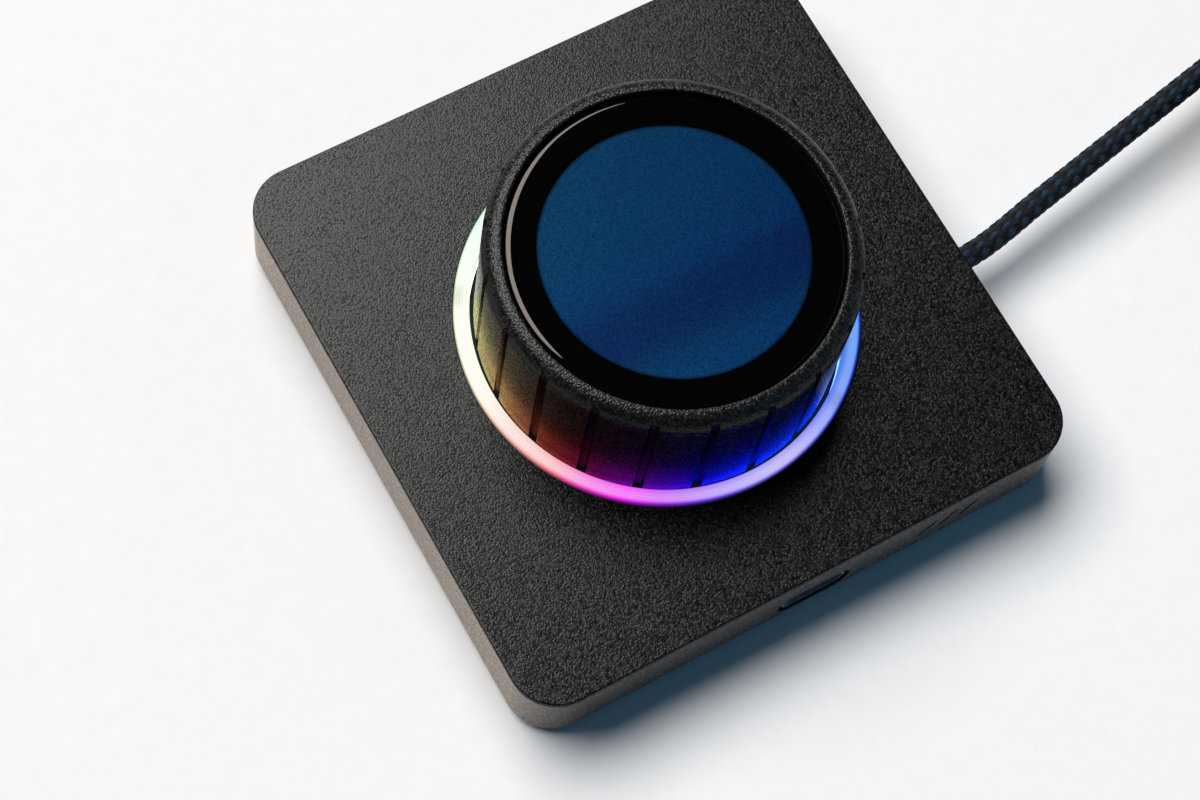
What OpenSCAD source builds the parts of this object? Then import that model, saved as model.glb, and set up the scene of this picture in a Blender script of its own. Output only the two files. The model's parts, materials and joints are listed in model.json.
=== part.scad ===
// Haptic knob controller: a motor-driven dial with a fixed round screen, on a square lit base.
// Millimetres. Z is up, z = 0 is the table, and the dial turns about the Z axis.
// The port faces -Y and the lead leaves through the +X wall.

/* [Base] */
// Side of the square base
base_w = 76.5; // [74:0.5:100]
// Radius of the base's upright corners
base_corner_r = 6; // [5:0.5:9]
// Height of the base, from its lower edge to the top of its plate
base_h = 10.5; // [10.2:0.1:14]
// Thickness of the side walls
base_wall = 2.4; // [2:0.1:3]
// Thickness of the top plate where it closes the walls
plate_t = 2; // [1.6:0.1:2.4]
// Height of the plate's edge above the seam
plate_lip = 0.35; // [0.3:0.05:0.6]
// Height of the dark seam between plate and walls
seam_h = 0.25; // [0.2:0.05:0.5]
// Depth of the seam
seam_depth = 0.5; // [0.3:0.05:1]
// Thickness of the bottom cover
cover_t = 1.8; // [1.6:0.1:2.2]
// Width of the step in the walls that takes the bottom cover
cover_step = 1.2; // [0.8:0.1:1.4]
// Radius of the screw bosses under the plate
boss_r = 3; // [2.8:0.1:3.4]
// Radius of a rubber foot
foot_r = 4.5; // [3.5:0.1:5]
// Height of a foot below the bottom cover
foot_proud = 1.5; // [1:0.1:3]
// Depth of the pocket that holds a foot
foot_sunk = 0.5; // [0.3:0.1:0.8]
// Distance from the base's side to a foot's centre
foot_inset = 11.75; // [11:0.25:16]

/* [Port and slits] */
// Offset of the port from the middle of its wall
port_x = 0.8; // [-6:0.1:6]
// Height of the port's centre above the base's lower edge
port_up = 3.5; // [3.5:0.1:4.5]
// Width of the port's flared mouth
mouth_w = 10.4; // [10:0.1:12]
// Height of the mouth
mouth_h = 4.6; // [4:0.1:4.8]
// Depth of the mouth
mouth_depth = 0.9; // [0.5:0.1:1.2]
// Outer width of the socket
socket_w = 8.94; // [8.5:0.02:9.2]
// Outer height of the socket
socket_h = 3.26; // [3:0.02:3.3]
// Length of the socket
socket_len = 7.3; // [6.5:0.1:8]
// How far the socket's lip stays behind the wall's face
socket_set = 0.2; // [0.1:0.1:0.6]
// Thickness of the socket's sheet
socket_wall = 0.3; // [0.2:0.05:0.4]
// Number of slanted slits beside the port
slit_count = 3; // [1:1:4]
// Length of a slit
slit_len = 3.6; // [2:0.1:4.5]
// Width of a slit
slit_w = 0.6; // [0.3:0.1:1]
// Depth of a slit
slit_depth = 0.5; // [0.2:0.1:1]
// Distance between slits
slit_pitch = 3; // [2:0.1:4]
// Distance from the dial's axis to the first slit
slit_x = 17; // [14:0.5:20]

/* [Dial] */
// Width of the dial's rim
knob_wall = 2.3; // [2:0.1:4]
// Height of the rim above the plate
knob_rise = 20.1; // [18.5:0.1:28]
// Depth of the skirt below the plate's top
knob_sink = 1.2; // [0.5:0.1:1.5]
// Radius of the rounded shoulder
shoulder_r = 2; // [1:0.1:2]
// Chamfer on the rim's inner edge
rim_chamfer = 0.25; // [0.1:0.05:0.4]
// Chamfer round the foot of the skirt
skirt_chamfer = 0.4; // [0.2:0.05:0.6]
// Number of finger grooves
groove_count = 20; // [12:1:30]
// Radius of a groove's round bottom
groove_r = 0.6; // [0.4:0.05:0.9]
// Depth of a groove
groove_depth = 0.55; // [0.3:0.05:0.8]
// Width of the inner ledge that carries the hub
ledge_w = 3; // [2.8:0.1:3.4]
// Thickness of the ledge
ledge_t = 2; // [1.5:0.1:2.5]
// Thickness of the hub
hub_t = 1.6; // [1.4:0.1:2]

/* [Light ring] */
// Gap between the skirt and the ring
ring_gap = 0.55; // [0.4:0.05:1.2]
// Width of the ring's lit face
ring_w = 2; // [1.5:0.1:3]
// Height of the ring above the plate
ring_rise = 0.8; // [0.4:0.1:1.2]
// Width of the flange under the plate
ring_flange_w = 2; // [1:0.1:2.5]
// Thickness of the flange
ring_flange_t = 1.2; // [0.8:0.1:1.3]
// Number of lights
led_count = 24; // [12:1:32]
// Side of a light
led_size = 2; // [1.5:0.1:2.2]
// Height of a light
led_h = 0.7; // [0.4:0.1:0.7]
// Thickness of the light board
led_board_t = 1; // [0.8:0.1:1.2]
// Distance from the plate down to the light board
led_drop = 2; // [2:0.1:2.2]

/* [Screen] */
// Diameter of the lit screen
screen_d = 32.4; // [30:0.1:38]
// Width of the panel's unlit border
panel_border = 1.6; // [1:0.1:3]
// Thickness of the display panel
panel_t = 1.7; // [1.2:0.1:2]
// How far the display board stands out beyond the panel
board_margin = 0.6; // [0.3:0.1:1]
// Thickness of the display board
display_board_t = 1; // [0.8:0.1:1.2]
// Wall of the display cup
cup_wall = 1; // [0.8:0.1:1.4]
// Thickness of the cup's floor
cup_floor_t = 1.2; // [1:0.1:1.6]
// Height of the space under the display board
cup_space = 0.8; // [0.6:0.1:1.2]
// Gap between the cup and the turning rim
cup_gap = 0.7; // [0.5:0.1:1]
// Gap between the glass and the turning rim
lens_gap = 0.35; // [0.3:0.05:0.6]
// Thickness of the glass
lens_t = 1.2; // [1:0.1:1.6]
// How far the glass lies below the rim
lens_drop = 0.4; // [0.2:0.1:1]
// Width of the glass's rounded edge
edge_w = 1.3; // [0.8:0.1:1.4]
// Radius of that rounding
edge_r = 2.2; // [1.8:0.1:3]
// Thickness of the black border tape
gasket_t = 0.2; // [0.1:0.05:0.3]

/* [Motor] */
// Wall of the centre post
post_wall = 1.3; // [1.1:0.1:1.5]
// Gap between the post and the turning shaft
post_gap = 0.5; // [0.4:0.05:0.7]
// Wall of the hollow shaft
shaft_wall = 1; // [0.8:0.1:1.2]
// Thickness of a bearing across its rings
bearing_across = 3; // [2.8:0.1:3.2]
// Width of a bearing
bearing_w = 2.5; // [2:0.1:3]
// Number of balls in a bearing
ball_count = 8; // [6:1:9]
// Wall of the tube that holds the bearings
tube_wall = 1.4; // [1.2:0.1:1.6]
// Number of stator teeth
tooth_count = 12; // [9:3:12]
// Width of a stator tooth
tooth_w = 1.8; // [1.4:0.1:2.2]
// Depth of the slots between the teeth
slot_depth = 1.5; // [1.2:0.1:1.8]
// Thickness of the ring that joins the teeth
yoke_t = 1.2; // [1:0.1:1.4]
// Thickness of a tooth's tip
tip_t = 1.2; // [0.8:0.1:1.4]
// Number of rotor magnets
magnet_count = 14; // [12:2:14]
// Width of a magnet
magnet_w = 4.6; // [3.6:0.1:5]
// Thickness of a magnet
magnet_t = 1.1; // [0.8:0.1:1.4]
// Air gap between teeth and magnets
air_gap = 0.5; // [0.4:0.05:0.8]
// Thickness of the rotor's wall
bell_wall = 1.2; // [1:0.1:1.6]
// Thickness of the rotor's top
bell_t = 1.5; // [1.2:0.1:1.8]
// Thickness of the motor's foot
motor_foot_t = 1.8; // [1.6:0.1:2.2]

/* [Press sensor] */
// Travel of the head when it is pressed
press_travel = 0.4; // [0.1:0.05:0.4]
// Thickness of the flexure's sheet
flexure_t = 0.5; // [0.3:0.05:0.6]
// Height from the flexure's outer ring to its middle
flexure_rise = 1; // [0.8:0.1:1.2]
// Height of the seat under the flexure
flexure_seat_h = 0.7; // [0.6:0.1:0.9]
// Width of the flexure's outer ring
flexure_ring_w = 2.4; // [2.2:0.1:3]
// Width of a flexure arm
flexure_arm_w = 3; // [2:0.1:4]

/* [Boards] */
// Thickness of the main board
main_board_t = 1; // [0.8:0.1:1.2]
// Height of the posts under the main board
main_post_h = 0.7; // [0.6:0.1:0.9]

/* [Lead] */
// Diameter of the braided lead
cable_d = 3.2; // [3:0.1:3.2]
// Place of the lead along its wall
cable_y = -9.6; // [-9.6:0.1:-9.6]
// Height of the lead's centre above the table
cable_z = 6.2; // [6.2:0.1:6.2]
// Length of the bush's nose outside the wall
bush_nose = 1.5; // [1:0.1:3]
// Distance between turns of the stored coil
coil_pitch = 3.8; // [3.8:0.1:4.2]
// Turns in each of the coil's two layers
coil_turns = 3.25; // [3.25:1:3.25]
// Radius of the coil's tightest turn
coil_min_r = 12.6; // [12:0.1:14]
// Thickness of the coil's tie
tie_t = 0.6; // [0.4:0.1:0.6]
// Width of the tie
tie_w = 4; // [2:0.5:8]
// Length of the plug's grip
plug_len = 20; // [16:0.5:26]
// Width of the plug's grip
plug_w = 10.8; // [10:0.1:12]
// Thickness of the plug's grip
plug_h = 5.2; // [4.8:0.1:5.2]

/* [Hidden] */
$fn = 64;
// Clearances
fit_clear = 0.02;
seat_clear = 0.15;
run_clear = 0.5;
rest_clear = 0.05;
cut = 1;

// Heights of the base
cover_z = foot_proud;
cover_top = cover_z + cover_t;
plate_top = foot_proud + base_h;
wall_top = plate_top - plate_lip - seam_h;
plate_under = plate_top - plate_t;
inner_w = base_w - 2 * base_wall;
inner_corner_r = base_corner_r - base_wall;
cover_w = base_w - 2 * (base_wall - cover_step);
cover_corner_r = base_corner_r - base_wall + cover_step;
boss_gap = 0.45;
boss_at = inner_w / 2 - boss_gap - boss_r;
foot_at = base_w / 2 - foot_inset;

// Cover screws and the inserts that take them
screw_r = 1.2;
screw_head_r = 2.4;
screw_head_h = 1.2;
screw_len = 5.2;
insert_r = 1.75;
insert_len = 4;

// Dial, from the screen outwards
screen_r = screen_d / 2;
panel_r = screen_r + panel_border;
display_board_r = panel_r + board_margin;
cup_clear = 0.2;
cup_lip = 0.2;
cup_ledge = 1.2;
cup_bore_r = display_board_r + cup_clear;
cup_r = cup_bore_r + cup_wall;
knob_bore_r = cup_r + cup_gap;
knob_r = knob_bore_r + knob_wall;
rim_z = plate_top + knob_rise;
skirt_z = plate_top - knob_sink;
lens_r = knob_bore_r - lens_gap;

// Screen stack, from the glass down
lens_top = rim_z - lens_drop;
lens_z = lens_top - lens_t;
edge_turn = asin(edge_w / edge_r);
edge_steps = 6;
lens_edge = [
    for (i = [edge_steps : -1 : 0])
        let (a = edge_turn * i / edge_steps)
            [lens_r - edge_w + edge_r * sin(a), lens_t - edge_r * (1 - cos(a))]
];
panel_top = lens_z - gasket_t;
panel_z = panel_top - panel_t;
display_board_z = panel_z - display_board_t;
cup_floor_top = display_board_z - cup_space;
cup_z = cup_floor_top - cup_floor_t;
cup_sleeve_h = 1;

// Light ring
ring_in_r = knob_r + ring_gap;
ring_out_r = ring_in_r + ring_w;
flange_r = ring_out_r + ring_flange_w;
flange_z = plate_under - ring_flange_t;
led_board_top = plate_under - led_drop;
led_board_z = led_board_top - led_board_t;
led_board_in_r = knob_bore_r - 0.8;
led_r = ring_in_r + ring_w / 2;
tab_r = 2.6;
tab_at = flange_r + 3;
tab_angles = [60, 180, 300];
standoff_r = 2.4;

// Press flexure and the motor's foot
flexure_z = cover_top + flexure_seat_h;
flexure_mid_z = flexure_z + flexure_rise;
motor_z = flexure_mid_z + flexure_t + rest_clear;
motor_foot_top = motor_z + motor_foot_t;

// Motor, from the dial inwards
bell_r = knob_bore_r - ledge_w - run_clear;
bell_in_r = bell_r - bell_wall;
magnet_out = sqrt(pow(bell_in_r - rest_clear, 2) - pow(magnet_w / 2, 2));
magnet_in = magnet_out - magnet_t;
stator_r = magnet_in - air_gap;
tube_r = stator_r - tip_t - slot_depth - yoke_t;
tube_seat_r = tube_r - tube_wall;
tube_step = 0.6;
tube_low_r = tube_seat_r - tube_step;
bearing_out_r = tube_seat_r - fit_clear;
bearing_in_r = bearing_out_r - bearing_across;
shaft_r = bearing_in_r - fit_clear;
shaft_in_r = shaft_r - shaft_wall;
post_r = shaft_in_r - post_gap;
post_bore_r = post_r - post_wall;
ring_share = 0.27;
race_t = bearing_across * ring_share;
ball_gap = 0.04;
ball_r = (bearing_across - 2 * race_t) / 2 - ball_gap;
ball_at = bearing_in_r + bearing_across / 2;
motor_foot_r = bell_r - 2;
flexure_ring_in = motor_foot_r + 0.8;
flexure_ring_r = flexure_ring_in + flexure_ring_w;

// Motor heights: the lower parts stand on the foot, the upper ones hang from the hub
encoder_board_t = 0.8;
encoder_chip_h = 0.7;
encoder_z = motor_foot_top;
encoder_top = encoder_z + encoder_board_t;
encoder_gap = 0.5;
encoder_magnet_z = encoder_top + encoder_chip_h + encoder_gap;
encoder_magnet_h = 1.2;
encoder_magnet_r = tube_low_r - run_clear;
bearing_low_z = encoder_magnet_z + encoder_magnet_h + 0.4;
hub_run = 1.4;
hub_top = cup_z - hub_run;
hub_z = hub_top - hub_t;
bell_top = hub_z;
bell_under = bell_top - bell_t;
coil_over = 1.2;
winding_room = 4;
bell_skirt = 1.6;
tube_gap = 1.5;
magnet_over = 0.5;
tube_top = bell_under - tube_gap;
bearing_high_z = tube_top - bearing_w;
stator_z = motor_foot_top + winding_room;
stator_top = bell_under - winding_room;
bell_z = stator_z - bell_skirt;
coil_w = 3.6;
coil_clear = 0.3;
tooth_clear = 0.05;
flex_w = post_bore_r * 1.5;
flex_t = 0.3;
flex_clear = 0.3;

// Small screws
small_r = 0.9;
small_head_r = 1.7;
small_head_h = 0.8;
motor_head_r = 1.5;
fine_r = 0.8;
fine_head_r = 1.3;
fine_head_h = 0.8;
thread_clear = 0.05;
motor_screw_at = (post_r + tube_r) / 2;
motor_screw_h = motor_foot_t - 0.4;
flexure_screw_at = flexure_ring_in + flexure_ring_w / 2;
hub_screw_at = (shaft_r + bell_r) / 2;
knob_screw_at = knob_bore_r - ledge_w / 2;
board_screw_inset = 5.4;
board_screw_x = inner_w / 2 - board_screw_inset;
board_screw_y = 16;
board_post_r = 2.2;

// Boards
main_board_z = cover_top + main_post_h;
main_board_top = main_board_z + main_board_t;
main_board_w = inner_w - 2;
main_hole_r = flexure_ring_r + 1.4;
chip_lane = (main_hole_r + main_board_w / 2) / 2;
header_len = 5;
header_w = 7;
under_clear = 0.3;
header_h = led_board_z - main_board_top - under_clear;
controller_w = 7;
driver_w = 4;
chip_h = 0.8;
chip_off = 8;
can_x = 12;
can_y = 6.5;
can_h = 1.5;
can_inset = 0.5;

// Port
port_z = cover_z + port_up;
socket_clear = 0.18;
tongue_w = 6.7;
tongue_t = 0.7;
tongue_back = 0.6;
tongue_root = 1.4;
wall_out = base_w / 2;
mouth_floor = wall_out - mouth_depth;
socket_front = wall_out - socket_set;

// Lead, bush, coil and plug
cable_r = cable_d / 2;
bush_bore_r = cable_r + rest_clear;
bush_neck_r = cable_r + 0.5;
bush_flange_r = cable_r + 1.1;
bush_nose_r = cable_r + 0.7;
bush_tip_r = cable_r + 0.3;
bush_flange_t = 1.2;
header_face = inner_w / 2 - bush_flange_t - 2.15;
tie_gap = 0.4;
coil_x = 105;
coil_y = -24;
coil_low_z = tie_t + tie_gap + cable_r;
coil_high_z = coil_low_z + coil_pitch;
coil_half = coil_turns * 360;
coil_out_r = coil_min_r + coil_pitch * coil_turns;
coil_step = 15;
coil_entry = [coil_x - cable_d, coil_y + coil_out_r, coil_high_z];
coil_exit = [coil_x - cable_d, coil_y - coil_out_r, coil_low_z];
cable_sides = 8;
coil_sides = 6;
relief_len = 9;
relief_r = 2.4;
tip_len = 6.6;
tip_w = 8.3;
tip_h = 2.5;
tip_wall = 0.3;

// Route of the free lead, from the header through the bush to the stored coil
cable_route = [
    [header_face, cable_y, cable_z],
    [inner_w / 2, cable_y, cable_z],
    [wall_out + bush_nose, cable_y, cable_z],
    [43.5, -9.3, 6.2],
    [47.4, -8.6, 6.3],
    [52, -7.6, 6.5],
    [56.7, -6.7, 6.7],
    [61.5, -5.8, 7],
    [66.2, -4.9, 7.2],
    [71, -4, 7.4],
    [75.8, -3.1, 7.6],
    [81.5, -2, 7.7],
    [87, -0.9, 7.6],
    [91, -0.1, 7.3],
    [95, 0.6, 6.8],
    [coil_entry[0] - cable_d, coil_entry[1], coil_entry[2]],
    coil_entry
];

// Shapes that repeat

module rounded_square(w, r) {
    square([w - 2 * r, w], center = true);
    square([w, w - 2 * r], center = true);
    for (sx = [-1, 1], sy = [-1, 1])
        translate([sx * (w / 2 - r), sy * (w / 2 - r)])
            circle(r = r);
}

module slab(w, r, z0, z1) {
    translate([0, 0, z0])
        linear_extrude(z1 - z0)
            rounded_square(w, r);
}

module disc(r, z0, z1) {
    translate([0, 0, z0])
        cylinder(r = r, h = z1 - z0);
}

module pipe(r_in, r_out, z0, z1) {
    difference() {
        disc(r_out, z0, z1);
        disc(r_in, z0 - cut, z1 + cut);
    }
}

module at_corners(d) {
    for (sx = [-1, 1], sy = [-1, 1])
        translate([sx * d, sy * d, 0])
            children();
}

module around(count, r) {
    for (i = [0 : count - 1])
        rotate(360 * i / count)
            translate([r, 0, 0])
                children();
}

module at_tabs() {
    for (a = tab_angles)
        rotate(a)
            translate([tab_at, 0, 0])
                children();
}

module at_board_screws() {
    for (sx = [-1, 1], sy = [-1, 1])
        translate([sx * board_screw_x, sy * board_screw_y, 0])
            children();
}

module oblong(w, h) {
    square([w - h, h], center = true);
    for (s = [-1, 1])
        translate([s * (w - h) / 2, 0])
            circle(d = h);
}

// An oblong bar along Y, in the port's place on the front wall
module port_bar(w, h, y0, y1) {
    translate([port_x, -y0, port_z])
        rotate([90, 0, 0])
            linear_extrude(y1 - y0)
                oblong(w, h);
}

module box_at(x, y, z, size) {
    translate([x - size[0] / 2, y - size[1] / 2, z])
        cube(size);
}

// Sweep of a round section along a route of points
function unit(v) = v / norm(v);
function heading(p, i) = unit(p[min(i + 1, len(p) - 1)] - p[max(i - 1, 0)]);
function side_of(t) = unit(cross(t, [0, 0, 1]));
function ring_at(p, i, r, n) =
    let (t = heading(p, i), s = side_of(t), u = cross(s, t))
    [for (k = [0 : n - 1]) p[i] + r * (cos(360 * k / n) * s + sin(360 * k / n) * u)];
function sweep_points(p, r, n) = [for (i = [0 : len(p) - 1]) each ring_at(p, i, r, n)];
function sweep_sides(rings, n) = [
    for (i = [0 : rings - 2], k = [0 : n - 1], half = [0, 1])
        let (a = i * n + k, b = i * n + (k + 1) % n)
        half == 0 ? [a, b, b + n] : [a, b + n, a + n]
];
function sweep_caps(rings, n) = [
    for (k = [1 : n - 2], end = [0, 1])
        let (first = (rings - 1) * n)
        end == 0 ? [0, k + 1, k] : [first, first + k, first + k + 1]
];

module sweep(p, r, n) {
    polyhedron(
        points = sweep_points(p, r, n),
        faces = concat(sweep_sides(len(p), n), sweep_caps(len(p), n))
    );
}

// The stored coil: spirals in on the upper layer, steps down where it reverses, and spirals out below
function eased(t) = t * t * (3 - 2 * t);
function coil_r(a) = coil_min_r + coil_pitch * abs(a - coil_half) / 360;
function coil_drop(a) = eased(min(1, max(0, (a - coil_half + 90) / 180)));
function coil_point(a) = [
    coil_x + coil_r(a) * cos(90 - a),
    coil_y + coil_r(a) * sin(90 - a),
    coil_high_z - coil_pitch * coil_drop(a)
];
coil_turning = [for (a = [0 : coil_step : 2 * coil_half]) coil_point(a)];
coil_route = concat([coil_entry], coil_turning, [coil_exit]);
coil_skip = 12;
coil_gap = min([
    for (i = [0 : len(coil_route) - 1 - coil_skip], j = [i + coil_skip : len(coil_route) - 1])
        norm(coil_route[i] - coil_route[j])
]) - cable_d;

// Base

module base_shell() {
    color([0.20, 0.19, 0.19])
        difference() {
            slab(base_w, base_corner_r, cover_z, wall_top);
            slab(inner_w, inner_corner_r, cover_z - cut, wall_top + cut);
            slab(cover_w, cover_corner_r, cover_z - cut, cover_top);
            port_bar(mouth_w, mouth_h, mouth_floor, wall_out + cut);
            port_bar(
                socket_w + 2 * socket_clear, socket_h + 2 * socket_clear,
                wall_out - base_wall - cut, wall_out
            );
            translate([wall_out - base_wall - cut, cable_y, cable_z])
                rotate([0, 90, 0])
                    cylinder(r = bush_neck_r + fit_clear, h = base_wall + 2 * cut);
            for (i = [0 : slit_count - 1])
                translate([slit_x + i * slit_pitch, -wall_out, (cover_z + wall_top) / 2])
                    rotate([0, 35, 0])
                        cube([slit_w, 2 * slit_depth, slit_len], center = true);
        }
}

module top_plate() {
    color([0.22, 0.21, 0.21])
        difference() {
            union() {
                slab(base_w, base_corner_r, plate_top - plate_lip, plate_top);
                slab(
                    base_w - 2 * seam_depth, base_corner_r - seam_depth,
                    wall_top, plate_top - plate_lip
                );
                slab(inner_w - 2 * seat_clear, inner_corner_r - seat_clear, plate_under, wall_top);
                at_corners(boss_at)
                    disc(boss_r, cover_top, plate_under + plate_t / 4);
                at_tabs()
                    disc(standoff_r, led_board_top, plate_under + plate_t / 4);
            }
            disc(ring_out_r + seat_clear, plate_under - cut, plate_top + cut);
            at_corners(boss_at) {
                disc(insert_r + fit_clear, cover_top - cut, cover_top + insert_len);
                disc(screw_r + thread_clear, cover_top, cover_top + screw_len);
            }
            at_tabs()
                disc(small_r + thread_clear, led_board_top - cut, plate_under);
        }
}

module bottom_cover() {
    color([0.15, 0.15, 0.16])
        difference() {
            union() {
                slab(cover_w - 2 * seat_clear, cover_corner_r - seat_clear, cover_z, cover_top);
                pipe(flexure_ring_in, flexure_ring_r, cover_top, flexure_z);
                at_board_screws()
                    disc(board_post_r, cover_top, main_board_z);
            }
            at_corners(boss_at) {
                disc(screw_r + 0.2, cover_z - cut, cover_top + cut);
                translate([0, 0, cover_z - rest_clear])
                    cylinder(r1 = screw_head_r + 0.1, r2 = screw_r + 0.1, h = screw_head_h + 0.1);
            }
            at_corners(foot_at)
                disc(foot_r + 0.1, cover_z - cut, cover_z + foot_sunk);
            around(4, flexure_screw_at)
                disc(fine_r + thread_clear, cover_z + 0.8, flexure_z + cut);
            at_board_screws()
                disc(small_r + thread_clear, cover_z + 0.8, main_board_z + cut);
        }
}

module rubber_feet() {
    color([0.07, 0.07, 0.07])
        at_corners(foot_at)
            disc(foot_r, 0, cover_z + foot_sunk);
}

module cover_screws() {
    color([0.25, 0.25, 0.26])
        at_corners(boss_at)
            difference() {
                union() {
                    translate([0, 0, cover_z])
                        cylinder(r1 = screw_head_r, r2 = screw_r, h = screw_head_h);
                    disc(screw_r, cover_z + screw_head_h, cover_z + screw_len);
                }
                translate([0, 0, cover_z - cut])
                    cylinder(r = 1, h = cut + 0.7, $fn = 6);
            }
}

module threaded_inserts() {
    color([0.78, 0.62, 0.30])
        at_corners(boss_at)
            pipe(screw_r + thread_clear, insert_r, cover_top, cover_top + insert_len);
}

// Light ring

module light_ring() {
    color([0.95, 0.93, 0.95])
        union() {
            pipe(ring_in_r, ring_out_r, flange_z, plate_top + ring_rise);
            pipe(ring_out_r - 0.2, flange_r, flange_z, plate_under);
        }
}

module led_board() {
    color([0.05, 0.20, 0.12])
        difference() {
            union() {
                disc(flange_r, led_board_z, led_board_top);
                at_tabs()
                    disc(tab_r, led_board_z, led_board_top);
                for (a = tab_angles)
                    rotate(a)
                        translate([flange_r - 1, -tab_r, led_board_z])
                            cube([tab_at - flange_r + 1, 2 * tab_r, led_board_t]);
            }
            disc(led_board_in_r, led_board_z - cut, led_board_top + cut);
            at_tabs()
                disc(small_r + 0.1, led_board_z - cut, led_board_top + cut);
        }
}

module ring_leds() {
    color([0.92, 0.92, 0.88])
        around(led_count, led_r)
            box_at(0, 0, led_board_top, [led_size, led_size, led_h]);
}

// A pan-head screw standing head down, from z up
module screw_up(r, head_r, head_h, z, len) {
    disc(head_r, z - head_h, z);
    disc(r, z, z + len);
}

// The same screw driven from above
module screw_down(r, head_r, head_h, z, len) {
    disc(head_r, z, z + head_h);
    disc(r, z - len, z);
}

module led_screws() {
    color([0.62, 0.62, 0.64])
        at_tabs()
            screw_up(small_r, small_head_r, small_head_h, led_board_z, led_board_t + led_drop - 0.3);
}

// Boards

module main_board() {
    color([0.04, 0.16, 0.10])
        difference() {
            box_at(0, 0, main_board_z, [main_board_w, main_board_w, main_board_t]);
            disc(main_hole_r, main_board_z - cut, main_board_top + cut);
            at_corners(boss_at)
                disc(boss_r + 0.4, main_board_z - cut, main_board_top + cut);
            at_corners(boss_at + boss_r)
                box_at(0, 0, main_board_z - cut, [2 * boss_r, 2 * boss_r, main_board_t + 2 * cut]);
            at_board_screws()
                disc(small_r + 0.1, main_board_z - cut, main_board_top + cut);
            translate([port_x - socket_w / 2 - 0.3, -main_board_w / 2 - cut, main_board_z - cut])
                cube([
                    socket_w + 0.6,
                    main_board_w / 2 + cut - socket_front + socket_len + 0.3,
                    main_board_t + 2 * cut
                ]);
            translate([header_face, cable_y - bush_flange_r - 0.4, main_board_z - cut])
                cube([main_board_w, 2 * bush_flange_r + 0.8, main_board_t + 2 * cut]);
        }
}

module board_screws() {
    color([0.62, 0.62, 0.64])
        at_board_screws()
            screw_down(
                small_r, small_head_r, small_head_h, main_board_top,
                main_board_top - cover_z - 0.9
            );
}

module controller_chip() {
    color([0.10, 0.10, 0.11])
        box_at(-chip_lane, chip_off, main_board_top, [controller_w, controller_w, chip_h]);
}

module motor_driver_chip() {
    color([0.10, 0.10, 0.11])
        box_at(-chip_lane, -chip_off, main_board_top, [driver_w, driver_w, chip_h]);
}

module radio_can() {
    color([0.72, 0.72, 0.74])
        box_at(0, main_board_w / 2 - can_inset - can_y / 2, main_board_top, [can_x, can_y, can_h]);
}

module cable_header() {
    color([0.90, 0.88, 0.82])
        box_at(header_face - header_len / 2, cable_y, main_board_top, [header_len, header_w, header_h]);
}

// Port

module usb_socket_shell() {
    color([0.70, 0.71, 0.73])
        difference() {
            port_bar(socket_w, socket_h, socket_front - socket_len, socket_front);
            port_bar(
                socket_w - 2 * socket_wall, socket_h - 2 * socket_wall,
                socket_front - socket_len + socket_wall, socket_front + cut
            );
        }
}

module usb_socket_tongue() {
    color([0.10, 0.20, 0.42])
        union() {
            port_bar(
                socket_w - 2 * socket_wall - 2 * fit_clear, socket_h - 2 * socket_wall - 2 * fit_clear,
                socket_front - socket_len + socket_wall, socket_front - socket_len + tongue_root + fit_clear
            );
            translate([port_x - tongue_w / 2, -socket_front + tongue_back, port_z - tongue_t / 2])
                cube([tongue_w, socket_len - tongue_back - tongue_root, tongue_t]);
        }
}

// Press sensor

module press_flexure() {
    color([0.60, 0.61, 0.63])
        difference() {
            union() {
                pipe(flexure_ring_in, flexure_ring_r, flexure_z, flexure_z + flexure_t);
                pipe(post_r + 1, tube_r - 0.4, flexure_mid_z, flexure_mid_z + flexure_t);
                for (i = [0 : 3])
                    rotate(45 + 90 * i)
                        flexure_arm();
            }
            around(4, flexure_screw_at)
                disc(fine_r + thread_clear, flexure_z - cut, flexure_z + flexure_t + cut);
            around(4, motor_screw_at)
                disc(small_r + 0.3, flexure_mid_z - cut, flexure_mid_z + flexure_t + cut);
        }
}

// One sloping arm between the flexure's middle and its outer ring
module flexure_arm() {
    reach = flexure_ring_in - tube_r + 2.4;
    translate([tube_r - 1.2, 0, flexure_mid_z + flexure_t / 2])
        rotate([0, atan(flexure_rise / reach), 0])
            translate([0, -flexure_arm_w / 2, -flexure_t / 2])
                cube([norm([reach, flexure_rise]), flexure_arm_w, flexure_t]);
}

module strain_gauges() {
    color([0.72, 0.52, 0.22])
        for (i = [0 : 3])
            rotate(45 + 90 * i)
                box_at(flexure_ring_r - 0.6, 0, flexure_z + flexure_t, [1, 2, 0.15]);
}

module flexure_screws() {
    color([0.62, 0.62, 0.64])
        around(4, flexure_screw_at)
            screw_down(
                fine_r, fine_head_r - 0.1, fine_head_h, flexure_z + flexure_t,
                flexure_z + flexure_t - cover_z - 0.9
            );
}

// Motor, fixed half

module motor_base() {
    color([0.66, 0.67, 0.69])
        difference() {
            union() {
                disc(motor_foot_r, motor_z, motor_foot_top);
                disc(tube_r, motor_foot_top, tube_top);
            }
            disc(post_r + fit_clear, motor_z - cut, tube_top + cut);
            disc(tube_low_r, motor_foot_top, tube_top + cut);
            disc(tube_seat_r, bearing_low_z, tube_top + cut);
            around(4, motor_screw_at)
                disc(small_r + thread_clear, motor_z - cut, motor_z + motor_screw_h + 0.1);
        }
}

module motor_screws() {
    color([0.62, 0.62, 0.64])
        around(4, motor_screw_at)
            screw_up(
                small_r, motor_head_r, small_head_h, flexure_mid_z - rest_clear,
                flexure_t + 2 * rest_clear + motor_screw_h
            );
}

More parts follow.
